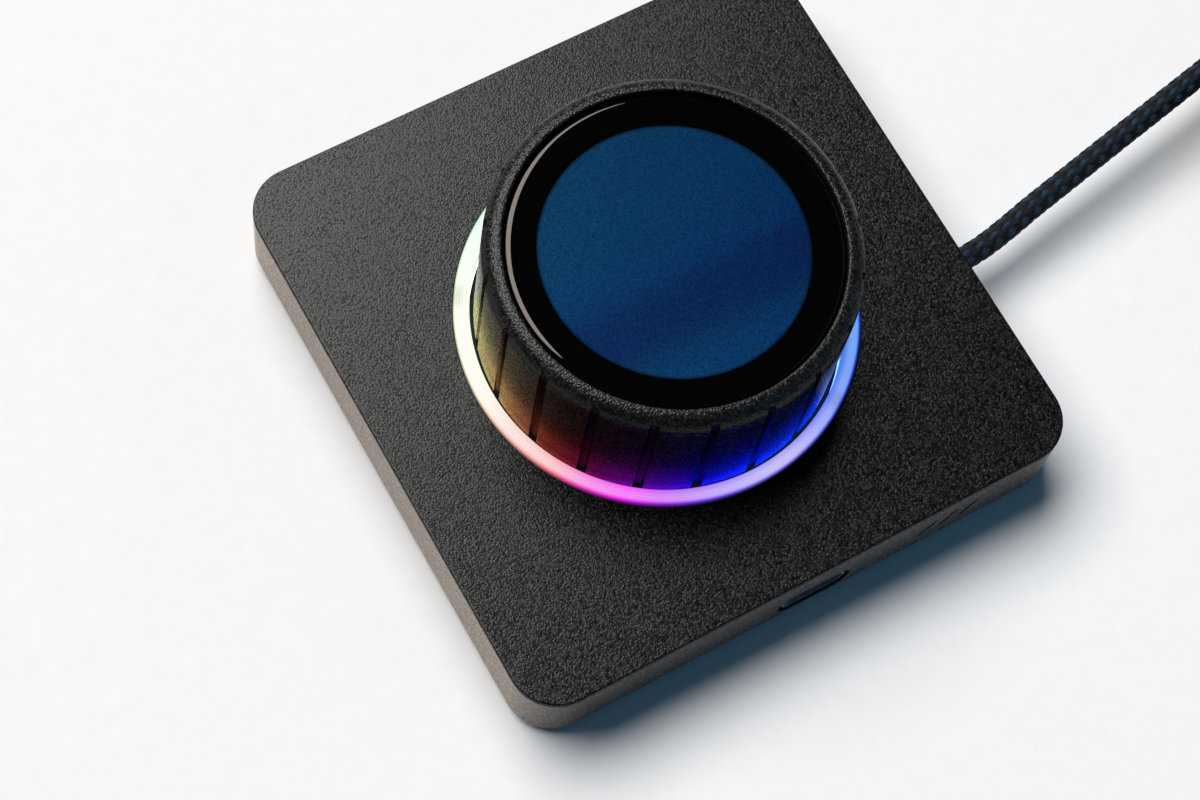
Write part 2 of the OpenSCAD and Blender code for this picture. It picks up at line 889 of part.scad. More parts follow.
module stator_core() {
    color([0.45, 0.45, 0.47])
        union() {
            pipe(tube_r + fit_clear, tube_r + yoke_t, stator_z, stator_top);
            around(tooth_count, 0)
                translate([tube_r + yoke_t - 0.2, -tooth_w / 2, stator_z])
                    cube([stator_r - tip_t - tube_r - yoke_t + 0.4, tooth_w, stator_top - stator_z]);
            intersection() {
                pipe(stator_r - tip_t, stator_r, stator_z, stator_top);
                around(tooth_count, 0)
                    translate([0, -tooth_w * 1.3, stator_z])
                        cube([stator_r + 1, tooth_w * 2.6, stator_top - stator_z]);
            }
        }
}

module windings() {
    color([0.72, 0.40, 0.16])
        around(tooth_count, 0)
            translate([tube_r + yoke_t + coil_clear, 0, 0])
                difference() {
                    translate([0, -coil_w / 2, stator_z - coil_over])
                        cube([slot_depth - 2 * coil_clear, coil_w, stator_top - stator_z + 2 * coil_over]);
                    translate([-cut, -tooth_w / 2 - tooth_clear, stator_z - tooth_clear])
                        cube([
                            slot_depth + 2 * cut,
                            tooth_w + 2 * tooth_clear,
                            stator_top - stator_z + 2 * tooth_clear
                        ]);
                }
}

module bearing_pair(r_in, r_out) {
    for (z = [bearing_low_z, bearing_high_z])
        pipe(r_in, r_out, z, z + bearing_w);
}

module bearing_outer_rings() {
    color([0.75, 0.75, 0.77])
        bearing_pair(bearing_out_r - race_t, bearing_out_r);
}

module bearing_balls() {
    color([0.82, 0.82, 0.84])
        for (z = [bearing_low_z, bearing_high_z])
            around(ball_count, ball_at)
                translate([0, 0, z + bearing_w / 2])
                    sphere(r = ball_r, $fn = 24);
}

module encoder_board() {
    color([0.05, 0.20, 0.12])
        pipe(post_r + 0.1, tube_low_r - 0.2, encoder_z, encoder_top);
}

module encoder_chip() {
    color([0.10, 0.10, 0.11])
        box_at(-(post_r + tube_low_r) / 2, 0, encoder_top, [2.4, 3, encoder_chip_h]);
}

// Screen, held still on the centre post

module centre_post() {
    color([0.60, 0.61, 0.63])
        difference() {
            pipe(post_bore_r, post_r, motor_z, cup_z);
            translate([0, -flex_w / 2 - flex_clear, encoder_top - flex_clear / 3])
                cube([post_r + cut, flex_w + 2 * flex_clear, flex_t + flex_clear]);
        }
}

module display_cup() {
    color([0.13, 0.13, 0.14])
        difference() {
            union() {
                disc(cup_r, cup_z, panel_top);
                disc(post_r + 1.2, cup_z - cup_sleeve_h, cup_z);
            }
            disc(cup_bore_r, display_board_z, panel_top + cut);
            disc(cup_bore_r - cup_ledge, cup_floor_top, display_board_z + cut);
            disc(post_bore_r, cup_z - cup_sleeve_h - cut, cup_floor_top + cut);
            disc(post_r + fit_clear, cup_z - cup_sleeve_h - cut, cup_z);
        }
}

module display_board() {
    color([0.04, 0.10, 0.20])
        disc(display_board_r, display_board_z, panel_z);
}

module display_panel() {
    color([0.06, 0.06, 0.07])
        disc(panel_r, panel_z, panel_top);
}

module polariser() {
    color([0.07, 0.26, 0.44])
        disc(screen_r, panel_top, lens_z);
}

module lens_gasket() {
    color([0.02, 0.02, 0.02])
        pipe(screen_r + rest_clear, cup_r - cup_lip, panel_top, lens_z);
}

module lens() {
    color([0.05, 0.07, 0.10, 0.6])
        translate([0, 0, lens_z])
            rotate_extrude()
                polygon(concat([[0, 0], [lens_r, 0]], lens_edge, [[0, lens_t]]));
}

module display_flex() {
    color([0.62, 0.36, 0.12])
        union() {
            translate([-flex_t / 2, -flex_w / 2, encoder_top])
                cube([flex_t, flex_w, display_board_z - encoder_top]);
            translate([-flex_t / 2, -flex_w / 2, encoder_top])
                cube([tube_low_r - 2 * flex_clear, flex_w, flex_t]);
        }
}

// Dial, the turning half

// Half section of the dial's ring
module knob_profile() {
    difference() {
        union() {
            translate([knob_bore_r, skirt_z])
                square([knob_wall, rim_z - shoulder_r - skirt_z]);
            translate([knob_bore_r, skirt_z])
                square([knob_wall - shoulder_r, rim_z - skirt_z]);
            intersection() {
                translate([knob_r - shoulder_r, rim_z - shoulder_r])
                    circle(r = shoulder_r);
                translate([knob_bore_r, rim_z - shoulder_r])
                    square([knob_wall, shoulder_r]);
            }
            translate([knob_bore_r - ledge_w, hub_z - ledge_t])
                square([ledge_w + knob_wall / 2, ledge_t]);
        }
        polygon([
            [knob_bore_r - cut, rim_z + cut],
            [knob_bore_r - cut, rim_z - rim_chamfer - cut],
            [knob_bore_r + rim_chamfer + cut, rim_z + cut]
        ]);
        polygon([
            [knob_r + cut, skirt_z - cut],
            [knob_r + cut, skirt_z + skirt_chamfer + cut],
            [knob_r - skirt_chamfer - cut, skirt_z - cut]
        ]);
    }
}

module knob_shell() {
    color([0.17, 0.17, 0.18])
        difference() {
            rotate_extrude($fn = 96)
                knob_profile();
            around(groove_count, knob_r + groove_r - groove_depth)
                disc(groove_r, skirt_z - cut, rim_z + cut);
            around(3, knob_screw_at)
                disc(fine_r + thread_clear, hub_z - ledge_t + 0.3, hub_z + cut);
        }
}

module knob_hub() {
    color([0.55, 0.56, 0.58])
        difference() {
            pipe(post_r + 1.2 + run_clear, knob_bore_r - rest_clear, hub_z, hub_top);
            around(4, hub_screw_at) {
                disc(small_r + 0.1, hub_z - cut, hub_top + cut);
                disc(small_head_r + 0.1, hub_top - small_head_h, hub_top + cut);
            }
            around(3, knob_screw_at) {
                disc(fine_r + 0.1, hub_z - cut, hub_top + cut);
                disc(fine_head_r + 0.1, hub_top - fine_head_h, hub_top + cut);
            }
        }
}

module hub_screws() {
    color([0.62, 0.62, 0.64])
        around(4, hub_screw_at)
            screw_down(
                small_r, small_head_r, small_head_h, hub_top - small_head_h,
                hub_t - small_head_h + bell_t - 0.1
            );
}

module knob_screws() {
    color([0.62, 0.62, 0.64])
        around(3, knob_screw_at)
            screw_down(
                fine_r, fine_head_r, fine_head_h, hub_top - fine_head_h,
                hub_t - fine_head_h + ledge_t - 0.5
            );
}

module rotor_bell() {
    color([0.30, 0.30, 0.32])
        difference() {
            union() {
                pipe(bell_in_r, bell_r, bell_z, bell_top);
                pipe(shaft_r + fit_clear, bell_r, bell_under, bell_top);
            }
            around(4, hub_screw_at)
                disc(small_r + thread_clear, bell_under - cut, bell_top + cut);
        }
}

module rotor_magnets() {
    color([0.70, 0.70, 0.72])
        around(magnet_count, (magnet_in + magnet_out) / 2)
            box_at(0, 0, stator_z - magnet_over, [magnet_t, magnet_w, stator_top - stator_z + 2 * magnet_over]);
}

module hollow_shaft() {
    color([0.66, 0.67, 0.69])
        pipe(shaft_in_r, shaft_r, encoder_magnet_z, bell_top);
}

module bearing_inner_rings() {
    color([0.75, 0.75, 0.77])
        bearing_pair(bearing_in_r, bearing_in_r + race_t);
}

module encoder_magnet() {
    color([0.40, 0.40, 0.42])
        pipe(shaft_r + fit_clear, encoder_magnet_r, encoder_magnet_z, encoder_magnet_z + encoder_magnet_h);
}

// Lead

module cable_bush() {
    color([0.06, 0.06, 0.07])
        translate([inner_w / 2 - bush_flange_t, cable_y, cable_z])
            rotate([0, 90, 0])
                rotate_extrude()
                    polygon([
                        [bush_bore_r, 0],
                        [bush_flange_r, 0],
                        [bush_flange_r, bush_flange_t],
                        [bush_neck_r, bush_flange_t],
                        [bush_neck_r, bush_flange_t + base_wall],
                        [bush_nose_r, bush_flange_t + base_wall],
                        [bush_tip_r, bush_flange_t + base_wall + bush_nose],
                        [bush_bore_r, bush_flange_t + base_wall + bush_nose]
                    ]);
}

module cable() {
    color([0.10, 0.12, 0.15])
        sweep(cable_route, cable_r, cable_sides);
}

module cable_coil() {
    echo(coil_gap = coil_gap);
    color([0.10, 0.12, 0.15])
        sweep(coil_route, cable_r, coil_sides);
}

// A strap round the coil's turns, on the side away from the base
module cable_tie() {
    x0 = coil_x + coil_min_r - cable_r - tie_gap;
    x1 = coil_x + coil_out_r + cable_r + tie_gap;
    z1 = coil_high_z + cable_r + tie_gap;
    color([0.05, 0.05, 0.06])
        difference() {
            translate([x0 - tie_t, coil_y - tie_w / 2, 0])
                cube([x1 - x0 + 2 * tie_t, tie_w, z1 + tie_t]);
            translate([x0, coil_y - tie_w / 2 - cut, tie_t])
                cube([x1 - x0, tie_w + 2 * cut, z1 - tie_t]);
        }
}

// An oblong bar along X, in line with the coil's outer end
module plug_bar(w, h, x0, x1) {
    translate([x0, coil_exit[1], coil_exit[2]])
        rotate([90, 0, 90])
            linear_extrude(x1 - x0)
                oblong(w, h);
}

plug_back = coil_exit[0];
grip_back = plug_back - relief_len;
grip_front = grip_back - plug_len;

module plug_body() {
    color([0.08, 0.08, 0.09])
        union() {
            plug_bar(plug_w, plug_h, grip_front, grip_back);
            translate([grip_back, coil_exit[1], coil_exit[2]])
                rotate([0, 90, 0])
                    cylinder(r1 = relief_r, r2 = cable_r + 0.2, h = relief_len);
        }
}

module plug_shell() {
    color([0.74, 0.75, 0.77])
        difference() {
            plug_bar(tip_w, tip_h, grip_front - tip_len, grip_front);
            plug_bar(
                tip_w - 2 * tip_wall, tip_h - 2 * tip_wall,
                grip_front - tip_len - cut, grip_front - 0.4
            );
        }
}

base_shell();
top_plate();
bottom_cover();
rubber_feet();
cover_screws();
threaded_inserts();
light_ring();
led_board();
ring_leds();
led_screws();
main_board();
board_screws();
controller_chip();
motor_driver_chip();
radio_can();
cable_header();
usb_socket_shell();
usb_socket_tongue();
press_flexure();
strain_gauges();
flexure_screws();
motor_base();
motor_screws();
stator_core();
windings();
bearing_outer_rings();
bearing_balls();
encoder_board();
encoder_chip();
centre_post();
display_cup();
display_board();
display_panel();
polariser();
lens_gasket();
lens();
display_flex();
knob_shell();
knob_hub();
hub_screws();
knob_screws();
rotor_bell();
rotor_magnets();
hollow_shaft();
bearing_inner_rings();
encoder_magnet();
cable_bush();
cable();
cable_coil();
cable_tie();
plug_body();
plug_shell();
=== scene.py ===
"""Looks of a desk knob: square base, light ring, grooved dial round a fixed screen, braided lead."""

import json
import math

import bpy
import numpy as np
from mathutils import Matrix, Vector

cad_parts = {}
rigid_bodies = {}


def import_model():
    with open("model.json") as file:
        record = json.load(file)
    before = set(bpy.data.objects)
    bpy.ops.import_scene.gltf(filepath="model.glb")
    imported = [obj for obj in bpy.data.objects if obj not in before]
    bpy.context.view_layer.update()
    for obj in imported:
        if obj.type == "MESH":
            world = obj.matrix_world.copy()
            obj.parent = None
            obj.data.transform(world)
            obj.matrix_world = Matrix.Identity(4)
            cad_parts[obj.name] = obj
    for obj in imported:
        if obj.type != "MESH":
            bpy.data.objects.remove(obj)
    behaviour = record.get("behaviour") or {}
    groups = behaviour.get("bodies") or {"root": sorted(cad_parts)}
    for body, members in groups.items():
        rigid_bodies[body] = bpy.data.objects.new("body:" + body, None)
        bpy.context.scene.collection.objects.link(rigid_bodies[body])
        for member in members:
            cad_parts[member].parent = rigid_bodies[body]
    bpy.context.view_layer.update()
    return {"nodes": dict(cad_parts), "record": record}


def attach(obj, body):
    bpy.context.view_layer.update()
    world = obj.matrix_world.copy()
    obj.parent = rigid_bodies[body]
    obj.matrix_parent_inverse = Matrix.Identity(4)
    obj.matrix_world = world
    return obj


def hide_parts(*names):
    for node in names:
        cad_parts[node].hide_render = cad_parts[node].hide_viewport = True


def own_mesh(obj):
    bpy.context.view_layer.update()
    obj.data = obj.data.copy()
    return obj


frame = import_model()
scene = bpy.context.scene
MM = 0.001

# Sizes in millimetres, as in the CAD part
PLATE_TOP = 12.0
WALL_TOP = 11.4
LIP_Z = 11.65
BASE_W = 76.5
BASE_R = 6.0
KNOB_R = 22.6
KNOB_BORE = 20.3
RIM_Z = 32.1
SKIRT_Z = 10.8
SHOULDER = 2.0
GROOVES = 20
GROOVE_HALF = 0.55
GROOVE_FADE = (28.5, 30.0)
DIAL_MATT = (28.0, 30.2)
RIM_GLOSS = (31.0, 31.9)
RING_IN, RING_OUT, RING_TOP = 23.15, 25.15, 12.8
RING_FOOT, FLANGE_R, FLANGE_TOP = 8.8, 27.2, 10.0
LENS_R, LENS_Z, LENS_TOP = 19.95, 30.5, 31.7
SCREEN_R, SCREEN_LOW, SCREEN_TOP = 16.2, 30.3, 30.47
BORDER_R, BORDER_TOP = 19.4, 30.48
CABLE_D = 3.2
LEAD_Y, LEAD_Z = -9.6, 6.2
SHELL_LOW = 1.5
PORT = (0.8, 5.0)
FULL_TURN = 2 * math.pi


# Camera

CAMERA_AT = (-98.35, -102.10, 331.94)
CAMERA_FORWARD = (0.2506, 0.2768, -0.9277)
CAMERA_RIGHT = (0.8669, -0.4907, 0.0878)
SENSOR_WIDTH, LENS_LENGTH = 36.0, 85.46


def add_camera():
    forward = Vector(CAMERA_FORWARD).normalized()
    right = Vector(CAMERA_RIGHT)
    right = (right - forward * right.dot(forward)).normalized()
    data = bpy.data.cameras.new("camera")
    data.sensor_fit = "HORIZONTAL"
    data.sensor_width = SENSOR_WIDTH
    data.lens = LENS_LENGTH
    data.clip_start = 0.01
    cam = bpy.data.objects.new("camera", data)
    turn = Matrix((right, right.cross(forward), -forward)).transposed().to_4x4()
    turn.translation = Vector(CAMERA_AT) * MM
    cam.matrix_world = turn
    scene.collection.objects.link(cam)
    scene.camera = cam


add_camera()


# Mesh helpers


def new_object(name, mesh, material=None):
    obj = bpy.data.objects.new(name, mesh)
    scene.collection.objects.link(obj)
    if material:
        mesh.materials.append(material)
    return obj


def mesh_from(name, verts, faces, sharp=None):
    mesh = bpy.data.meshes.new(name)
    mesh.from_pydata([tuple(v) for v in np.asarray(verts) * MM], [], faces)
    mesh.validate()
    mesh.shade_smooth()
    if sharp:
        mesh.set_sharp_from_angle(angle=math.radians(sharp))
    return mesh


def grid_faces(rows, cols, wrap_rows, wrap_cols):
    faces = []
    for i in range(rows if wrap_rows else rows - 1):
        for j in range(cols if wrap_cols else cols - 1):
            a, b = i * cols + j, i * cols + (j + 1) % cols
            c, d = (i + 1) % rows * cols + (j + 1) % cols, (i + 1) % rows * cols + j
            faces.append((a, b, c, d))
    return faces


def arc(cx, cy, r, start, end, steps):
    turn = np.radians(np.linspace(start, end, steps))
    return [(cx + r * math.cos(t), cy + r * math.sin(t)) for t in turn]


def lathe(name, profile, cols=192, sharp=40):
    """A turned piece: profile is a closed list of (radius, height), outside going up."""
    turn = np.linspace(0, FULL_TURN, cols, endpoint=False)
    pts = np.array([[(r * math.cos(t), r * math.sin(t), z) for t in turn] for r, z in profile])
    faces = grid_faces(len(profile), cols, True, True)
    return mesh_from(name, pts.reshape(-1, 3), faces, sharp)


def square_outline(corner_steps=14, side_steps=10):
    """The base's outline as corner centres and outward directions, so that an inset stays round."""
    half = BASE_W / 2 - BASE_R
    centres, outs = [], []
    corners = [(half, half, 0), (-half, half, 90), (-half, -half, 180), (half, -half, 270)]
    for k, (x, y, start) in enumerate(corners):
        for i in range(corner_steps + 1):
            t = math.radians(start + 90 * i / corner_steps)
            centres.append((x, y))
            outs.append((math.cos(t), math.sin(t)))
        nx, ny, _ = corners[(k + 1) % 4]
        t = math.radians(start + 90)
        for i in range(1, side_steps):
            centres.append((x + (nx - x) * i / side_steps, y + (ny - y) * i / side_steps))
            outs.append((math.cos(t), math.sin(t)))
    return np.array(centres), np.array(outs)


def outline_rows(profile):
    """Rows of points that follow the base's outline: profile is a list of (inset, height)."""
    centres, outs = square_outline()
    rows = []
    for inset, z in profile:
        ring = centres + outs * (BASE_R - inset)
        rows.append(np.column_stack([ring, np.full(len(ring), z)]))
    return rows


def cut_with(obj, cutters, sharp=35):
    for cutter in cutters:
        mod = obj.modifiers.new("cut", "BOOLEAN")
        mod.operation = "DIFFERENCE"
        mod.solver = "EXACT"
        mod.object = cutter
    deps = bpy.context.evaluated_depsgraph_get()
    mesh = bpy.data.meshes.new_from_object(obj.evaluated_get(deps))
    obj.modifiers.clear()
    obj.data = mesh
    for cutter in cutters:
        bpy.data.objects.remove(cutter)
    mesh.shade_smooth()
    mesh.set_sharp_from_angle(angle=math.radians(sharp))
    return obj


# Material helpers


class Shade:
    def __init__(self, name):
        self.material = bpy.data.materials.new(name)
        self.material.use_nodes = True
        self.tree = self.material.node_tree
        self.tree.nodes.clear()
        self.where = self.node("TexCoord").outputs["Object"]

    def node(self, kind, inputs=None, **props):
        made = self.tree.nodes.new("ShaderNode" + kind)
        for key, value in props.items():
            setattr(made, key, value)
        for key, value in (inputs or {}).items():
            if isinstance(value, bpy.types.NodeSocket):
                self.tree.links.new(value, made.inputs[key])
            else:
                made.inputs[key].default_value = value
        return made

    def math(self, kind, a, b=0.0, c=0.0):
        return self.node("Math", {0: a, 1: b, 2: c}, operation=kind).outputs[0]

    def split(self, vector=None):
        made = self.node("SeparateXYZ", {0: vector or self.where})
        return made.outputs[0], made.outputs[1], made.outputs[2]

    def radius(self, x, y):
        return self.math("SQRT", self.math("ADD", self.math("MULTIPLY", x, x), self.math("MULTIPLY", y, y)))

    def noise(self, scale, detail=2.0, rough=0.5):
        inputs = {"Scale": scale, "Detail": detail, "Roughness": rough, "Vector": self.where}
        return self.node("TexNoise", inputs).outputs["Fac"]

    def range(self, value, low, high, to_low=0.0, to_high=1.0):
        inputs = {"Value": value, "From Min": low, "From Max": high, "To Min": to_low, "To Max": to_high}
        return self.node("MapRange", inputs, clamp=True).outputs[0]

    def ramp(self, value, stops):
        made = self.node("ValToRGB", {"Fac": value})
        made.color_ramp.interpolation = "LINEAR"
        points = made.color_ramp.elements
        while len(points) < len(stops):
            points.new(0.5)
        for point, (pos, colour) in zip(points, stops):
            point.position = pos
            point.color = (*colour, 1.0)
        return made.outputs["Color"]

    def mix(self, factor, a, b, blend="MIX"):
        made = self.node("Mix", data_type="RGBA", blend_type=blend)
        for index, value in ((0, factor), (6, a), (7, b)):
            if isinstance(value, bpy.types.NodeSocket):
                self.tree.links.new(value, made.inputs[index])
            else:
                made.inputs[index].default_value = (*value, 1.0) if isinstance(value, tuple) else value
        return made.outputs[2]

    def bump(self, height, strength, distance):
        inputs = {"Height": height, "Strength": strength, "Distance": distance}
        return self.node("Bump", inputs).outputs["Normal"]

    def close(self, colour, roughness, normal=None, **extra):
        base = (*colour, 1.0) if isinstance(colour, tuple) else colour
        inputs = {"Base Color": base, "Roughness": roughness}
        if normal:
            inputs["Normal"] = normal
        inputs.update({key.replace("_", " "): value for key, value in extra.items()})
        surface = self.node("BsdfPrincipled", inputs)
        self.node("OutputMaterial", {"Surface": surface.outputs[0]})
        return self.material


LUMP_SCALE, FINE_SCALE, CLOUD_SCALE = 3900, 7000, 45


def sintered(
    name,
    dark,
    light,
    mark=None,
    grain=1.0,
    rough=(0.14, 0.28),
    spec=0.38,
    dust=None,
    depth=0.000022,
    hollow=None,
    matt=None,
    calm=0.0,
):
    """Granular black plastic.

    mark gives a mask and the colour that goes there, and hollow a mask of places painted dark as painted
    shade.
    dust is the weight and tint of a sheen. matt is the two heights between which the gloss falls.
    calm makes the painted shade in the pits between the lumps less dark.
    """
    s = Shade(name)
    cell = s.node("TexVoronoi", {"Scale": LUMP_SCALE * grain, "Vector": s.where})
    far = cell.outputs["Distance"]
    pick = s.node("SeparateColor", {0: cell.outputs["Color"]}).outputs[0]
    fine = s.noise(FINE_SCALE * grain, 2, 0.6)
    cloud = s.noise(CLOUD_SCALE, 3, 0.5)
    dome = s.range(far, 0.05, 0.80, 1.0, 0.0)
    tone = s.math("ADD", s.math("MULTIPLY", pick, 0.6), s.math("MULTIPLY", cloud, 0.4))
    colour = s.mix(s.range(tone, 0.25, 0.75), dark, light)
    pit = s.math("MULTIPLY", s.range(far, 0.45, 0.80), s.range(fine, 0.35, 0.6))
    if hollow:
        pit = s.math("MAXIMUM", pit, hollow(s))
    # Pits between the lumps, and any hollows, are painted darker here: painted shade.
    pit_shade_colour = tuple(0.15 * c for c in dark)
    colour = s.mix(s.math("MULTIPLY", pit, 0.9 - 0.3 * calm), colour, pit_shade_colour)
    spark = s.range(pick, 0.9955, 0.998)
    colour = s.mix(s.math("MULTIPLY", spark, dome), colour, (0.06, 0.06, 0.06))
    if mark:
        mask, tint = mark(s, fine)
        colour = s.mix(mask, colour, tint)
    lumps = s.math("MULTIPLY", dome, s.math("ADD", 0.5, pick))
    height = s.math("ADD", lumps, s.math("MULTIPLY", fine, 0.7))
    shine = s.math("ADD", s.range(pick, 0.0, 1.0, rough[0], rough[1]), s.math("MULTIPLY", pit, 0.12))
    if matt:
        z = s.split()[2]
        shine = s.math("ADD", shine, s.range(z, matt[0] * MM, matt[1] * MM, 0.0, 0.05))
        depth = s.range(z, matt[0] * MM, matt[1] * MM, depth, 3.2 * depth)
        low_fall = s.range(z, (matt[0] - 0.5) * MM, (matt[0] + 1.0) * MM, 1.0, 0.45)
        top_gloss = s.range(z, RIM_GLOSS[0] * MM, RIM_GLOSS[1] * MM, 0.0, 0.95)
        spec_fall = s.math("MAXIMUM", low_fall, top_gloss)
    normal = s.bump(height, 0.8, depth)
    # The pits also reflect less, as painted shade in them.
    pit_fall = s.range(pit, 0.0, 0.75, 1.0, 0.10 + 0.35 * calm)
    glint = s.math("MULTIPLY", pit_fall, s.range(pick, 0.0, 1.0, 0.75 * spec, 1.25 * spec))
    if matt:
        glint = s.math("MULTIPLY", glint, spec_fall)
    extra = {"Specular_IOR_Level": glint}
    if dust:
        extra.update({"Sheen_Weight": dust[0], "Sheen_Roughness": 0.4, "Sheen_Tint": (*dust[1], 1.0)})
    return s.close(colour, shine, normal, **extra)


def painted_seam_shadow(s, fine):
    """The plate's outline: a thin black line painted along it, a painted shadow standing in for the seam's
    dark gap.
    """
    half = (BASE_W / 2 - BASE_R) * MM
    x, y, _ = s.split()
    qx = s.math("MAXIMUM", s.math("SUBTRACT", s.math("ABSOLUTE", x), half), 0.0)
    qy = s.math("MAXIMUM", s.math("SUBTRACT", s.math("ABSOLUTE", y), half), 0.0)
    near = s.range(s.radius(qx, qy), (BASE_R - 0.42) * MM, (BASE_R - 0.30) * MM)
    return near, (0.003, 0.003, 0.003)


def rim_painted_highlight(s, fine):
    """The dial's rounded rim, painted a little paler toward its top: a painted highlight for the light the
    rim catches.
    """
    _, _, z = s.split()
    high = s.range(z, (RIM_Z - 1.6) * MM, (RIM_Z - 0.2) * MM)
    rough = s.range(fine, 0.45, 0.68)
    return s.math("MULTIPLY", s.math("MULTIPLY", high, rough), 0.12), (0.12, 0.118, 0.115)


def groove_painted_shade(s):
    """The dial's grooves, which hold little light, painted dark as painted shade."""
    x, y, z = s.split()
    part = s.math("MULTIPLY", s.math("ARCTAN2", y, x), GROOVES / FULL_TURN)
    off = s.math("ABSOLUTE", s.math("SUBTRACT", part, s.math("ROUND", part)))
    wide = GROOVE_HALF * GROOVES / (FULL_TURN * KNOB_R)
    low = s.range(z, GROOVE_FADE[0] * MM, GROOVE_FADE[1] * MM, 1.0, 0.0)
    return s.math("MULTIPLY", s.range(off, 0.75 * wide, wide, 0.9, 0.0), low)


def metal(name, colour, rough, grain=900.0):
    s = Shade(name)
    fine = s.noise(grain, 3)
    tone = s.mix(s.range(fine, 0.3, 0.7), tuple(0.8 * c for c in colour), colour)
    normal = s.bump(fine, 0.15, 0.00003)
    shine = s.range(fine, 0.3, 0.7, rough * 0.8, min(1.0, rough * 1.3))
    return s.close(tone, shine, normal, Metallic=1.0)


def plastic(name, colour, rough, grain=1500.0, depth=0.00003, spec=0.5):
    s = Shade(name)
    fine = s.noise(grain, 3)
    cloud = s.noise(60, 2)
    tone = s.mix(s.range(cloud, 0.3, 0.7), tuple(0.75 * c for c in colour), colour)
    normal = s.bump(fine, 0.3, depth)
    shine = s.range(fine, 0.3, 0.7, rough * 0.85, min(1.0, rough * 1.15))
    return s.close(tone, shine, normal, Specular_IOR_Level=spec)


SLOTS = {
    "cover_black": lambda: sintered("cover_black", (0.012, 0.012, 0.012), (0.035, 0.034, 0.034)),
    "rubber": lambda: plastic("rubber", (0.018, 0.018, 0.018), 0.85, 1800.0, 0.00004),
    "black_steel": lambda: metal("black_steel", (0.10, 0.10, 0.105), 0.4),
    "steel": lambda: metal("steel", (0.58, 0.59, 0.61), 0.32),
    "bearing_steel": lambda: metal("bearing_steel", (0.7, 0.7, 0.72), 0.15),
    "brass": lambda: metal("brass", (0.72, 0.50, 0.20), 0.3),
    "green_board": lambda: plastic("green_board", (0.004, 0.022, 0.013), 0.45, spec=0.2),
    "black_chip": lambda: plastic("black_chip", (0.02, 0.02, 0.022), 0.6),
    "led_body": lambda: plastic("led_body", (0.8, 0.8, 0.74), 0.4),
    "header_plastic": lambda: plastic("header_plastic", (0.75, 0.72, 0.62), 0.45),
    "blue_plastic": lambda: plastic("blue_plastic", (0.03, 0.10, 0.24), 0.4),
    "gauge_film": lambda: plastic("gauge_film", (0.5, 0.26, 0.06), 0.35),
    "aluminium": lambda: metal("aluminium", (0.62, 0.63, 0.65), 0.35),
    "lamination": lambda: metal("lamination", (0.35, 0.35, 0.37), 0.45),
    "enamelled_wire": lambda: metal("enamelled_wire", (0.62, 0.25, 0.07), 0.3, 4000.0),
    "magnet": lambda: metal("magnet", (0.6, 0.6, 0.62), 0.22),
    "cup_plastic": lambda: plastic("cup_plastic", (0.03, 0.03, 0.033), 0.6),
    "panel": lambda: plastic("panel", (0.02, 0.02, 0.024), 0.4),
    "plug_plastic": lambda: sintered("plug_plastic", (0.012, 0.012, 0.013), (0.03, 0.03, 0.032), None, 1.4),
    "tie_fabric": lambda: plastic("tie_fabric", (0.015, 0.015, 0.017), 0.9, 2600.0, 0.00009),
    "border_tape": lambda: plastic("border_tape", (0.0005, 0.0005, 0.0006), 0.7, spec=0.0),
}
slot_made = {}


def slot_material(slot):
    if slot not in slot_made:
        slot_made[slot] = SLOTS[slot]()
    return slot_made[slot]


# Lead: one braided cord from the base to the plug, its unseen length coiled


def smooth_through(points, per=24):
    p = np.array([points[0], *points, points[-1]], float)
    out = []
    for i in range(1, len(p) - 2):
        for t in np.linspace(0, 1, per, endpoint=False):
            a, b, c, d = p[i - 1], p[i], p[i + 1], p[i + 2]
            bend = (2 * a - 5 * b + 4 * c - d) * t**2
            twist = (3 * b - a - 3 * c + d) * t**3
            out.append(0.5 * (2 * b + (c - a) * t + bend + twist))
    return out + [p[-1]]


COIL_AT = (105.0, -24.0)
COIL_PITCH, COIL_TURNS, COIL_MIN = 3.8, 3.25, 12.6
COIL_LOW = 2.6
COIL_HIGH = COIL_LOW + COIL_PITCH
COIL_OUT = COIL_MIN + COIL_PITCH * COIL_TURNS
COIL_ENTRY = (COIL_AT[0] - CABLE_D, COIL_AT[1] + COIL_OUT, COIL_HIGH)
COIL_EXIT = (COIL_AT[0] - CABLE_D, COIL_AT[1] - COIL_OUT, COIL_LOW)
FREE_ROUTE = [
    (32.5, LEAD_Y, LEAD_Z), (35.85, LEAD_Y, LEAD_Z), (39.75, LEAD_Y, LEAD_Z),
    (43.5, -9.3, 6.2), (47.4, -8.6, 6.3),
    (52.0, -7.6, 6.5), (56.7, -6.7, 6.7), (61.5, -5.8, 7.0), (66.2, -4.9, 7.2), (71.0, -4.0, 7.4),
    (75.8, -3.1, 7.6), (81.5, -2.0, 7.7), (87.0, -0.9, 7.6), (91.0, -0.1, 7.3), (95.0, 0.6, 6.8),
    (98.6, COIL_ENTRY[1], COIL_HIGH), COIL_ENTRY,
]


def coil_point(a):
    half = COIL_TURNS * 360
    r = COIL_MIN + COIL_PITCH * abs(a - half) / 360
    t = min(1.0, max(0.0, (a - half + 90) / 180))
    turn = math.radians(90 - a)
    drop = COIL_PITCH * t * t * (3 - 2 * t)
    return (COIL_AT[0] + r * math.cos(turn), COIL_AT[1] + r * math.sin(turn), COIL_HIGH - drop)


def cord_path(step=2.5, tail=0.6):
    pts = smooth_through(FREE_ROUTE)
    pts += [np.array(coil_point(a)) for a in np.arange(0, 2 * COIL_TURNS * 360 + 0.1, step)]
    pts += [np.array(COIL_EXIT), np.array(COIL_EXIT) - (tail, 0, 0)]
    return np.array(pts)


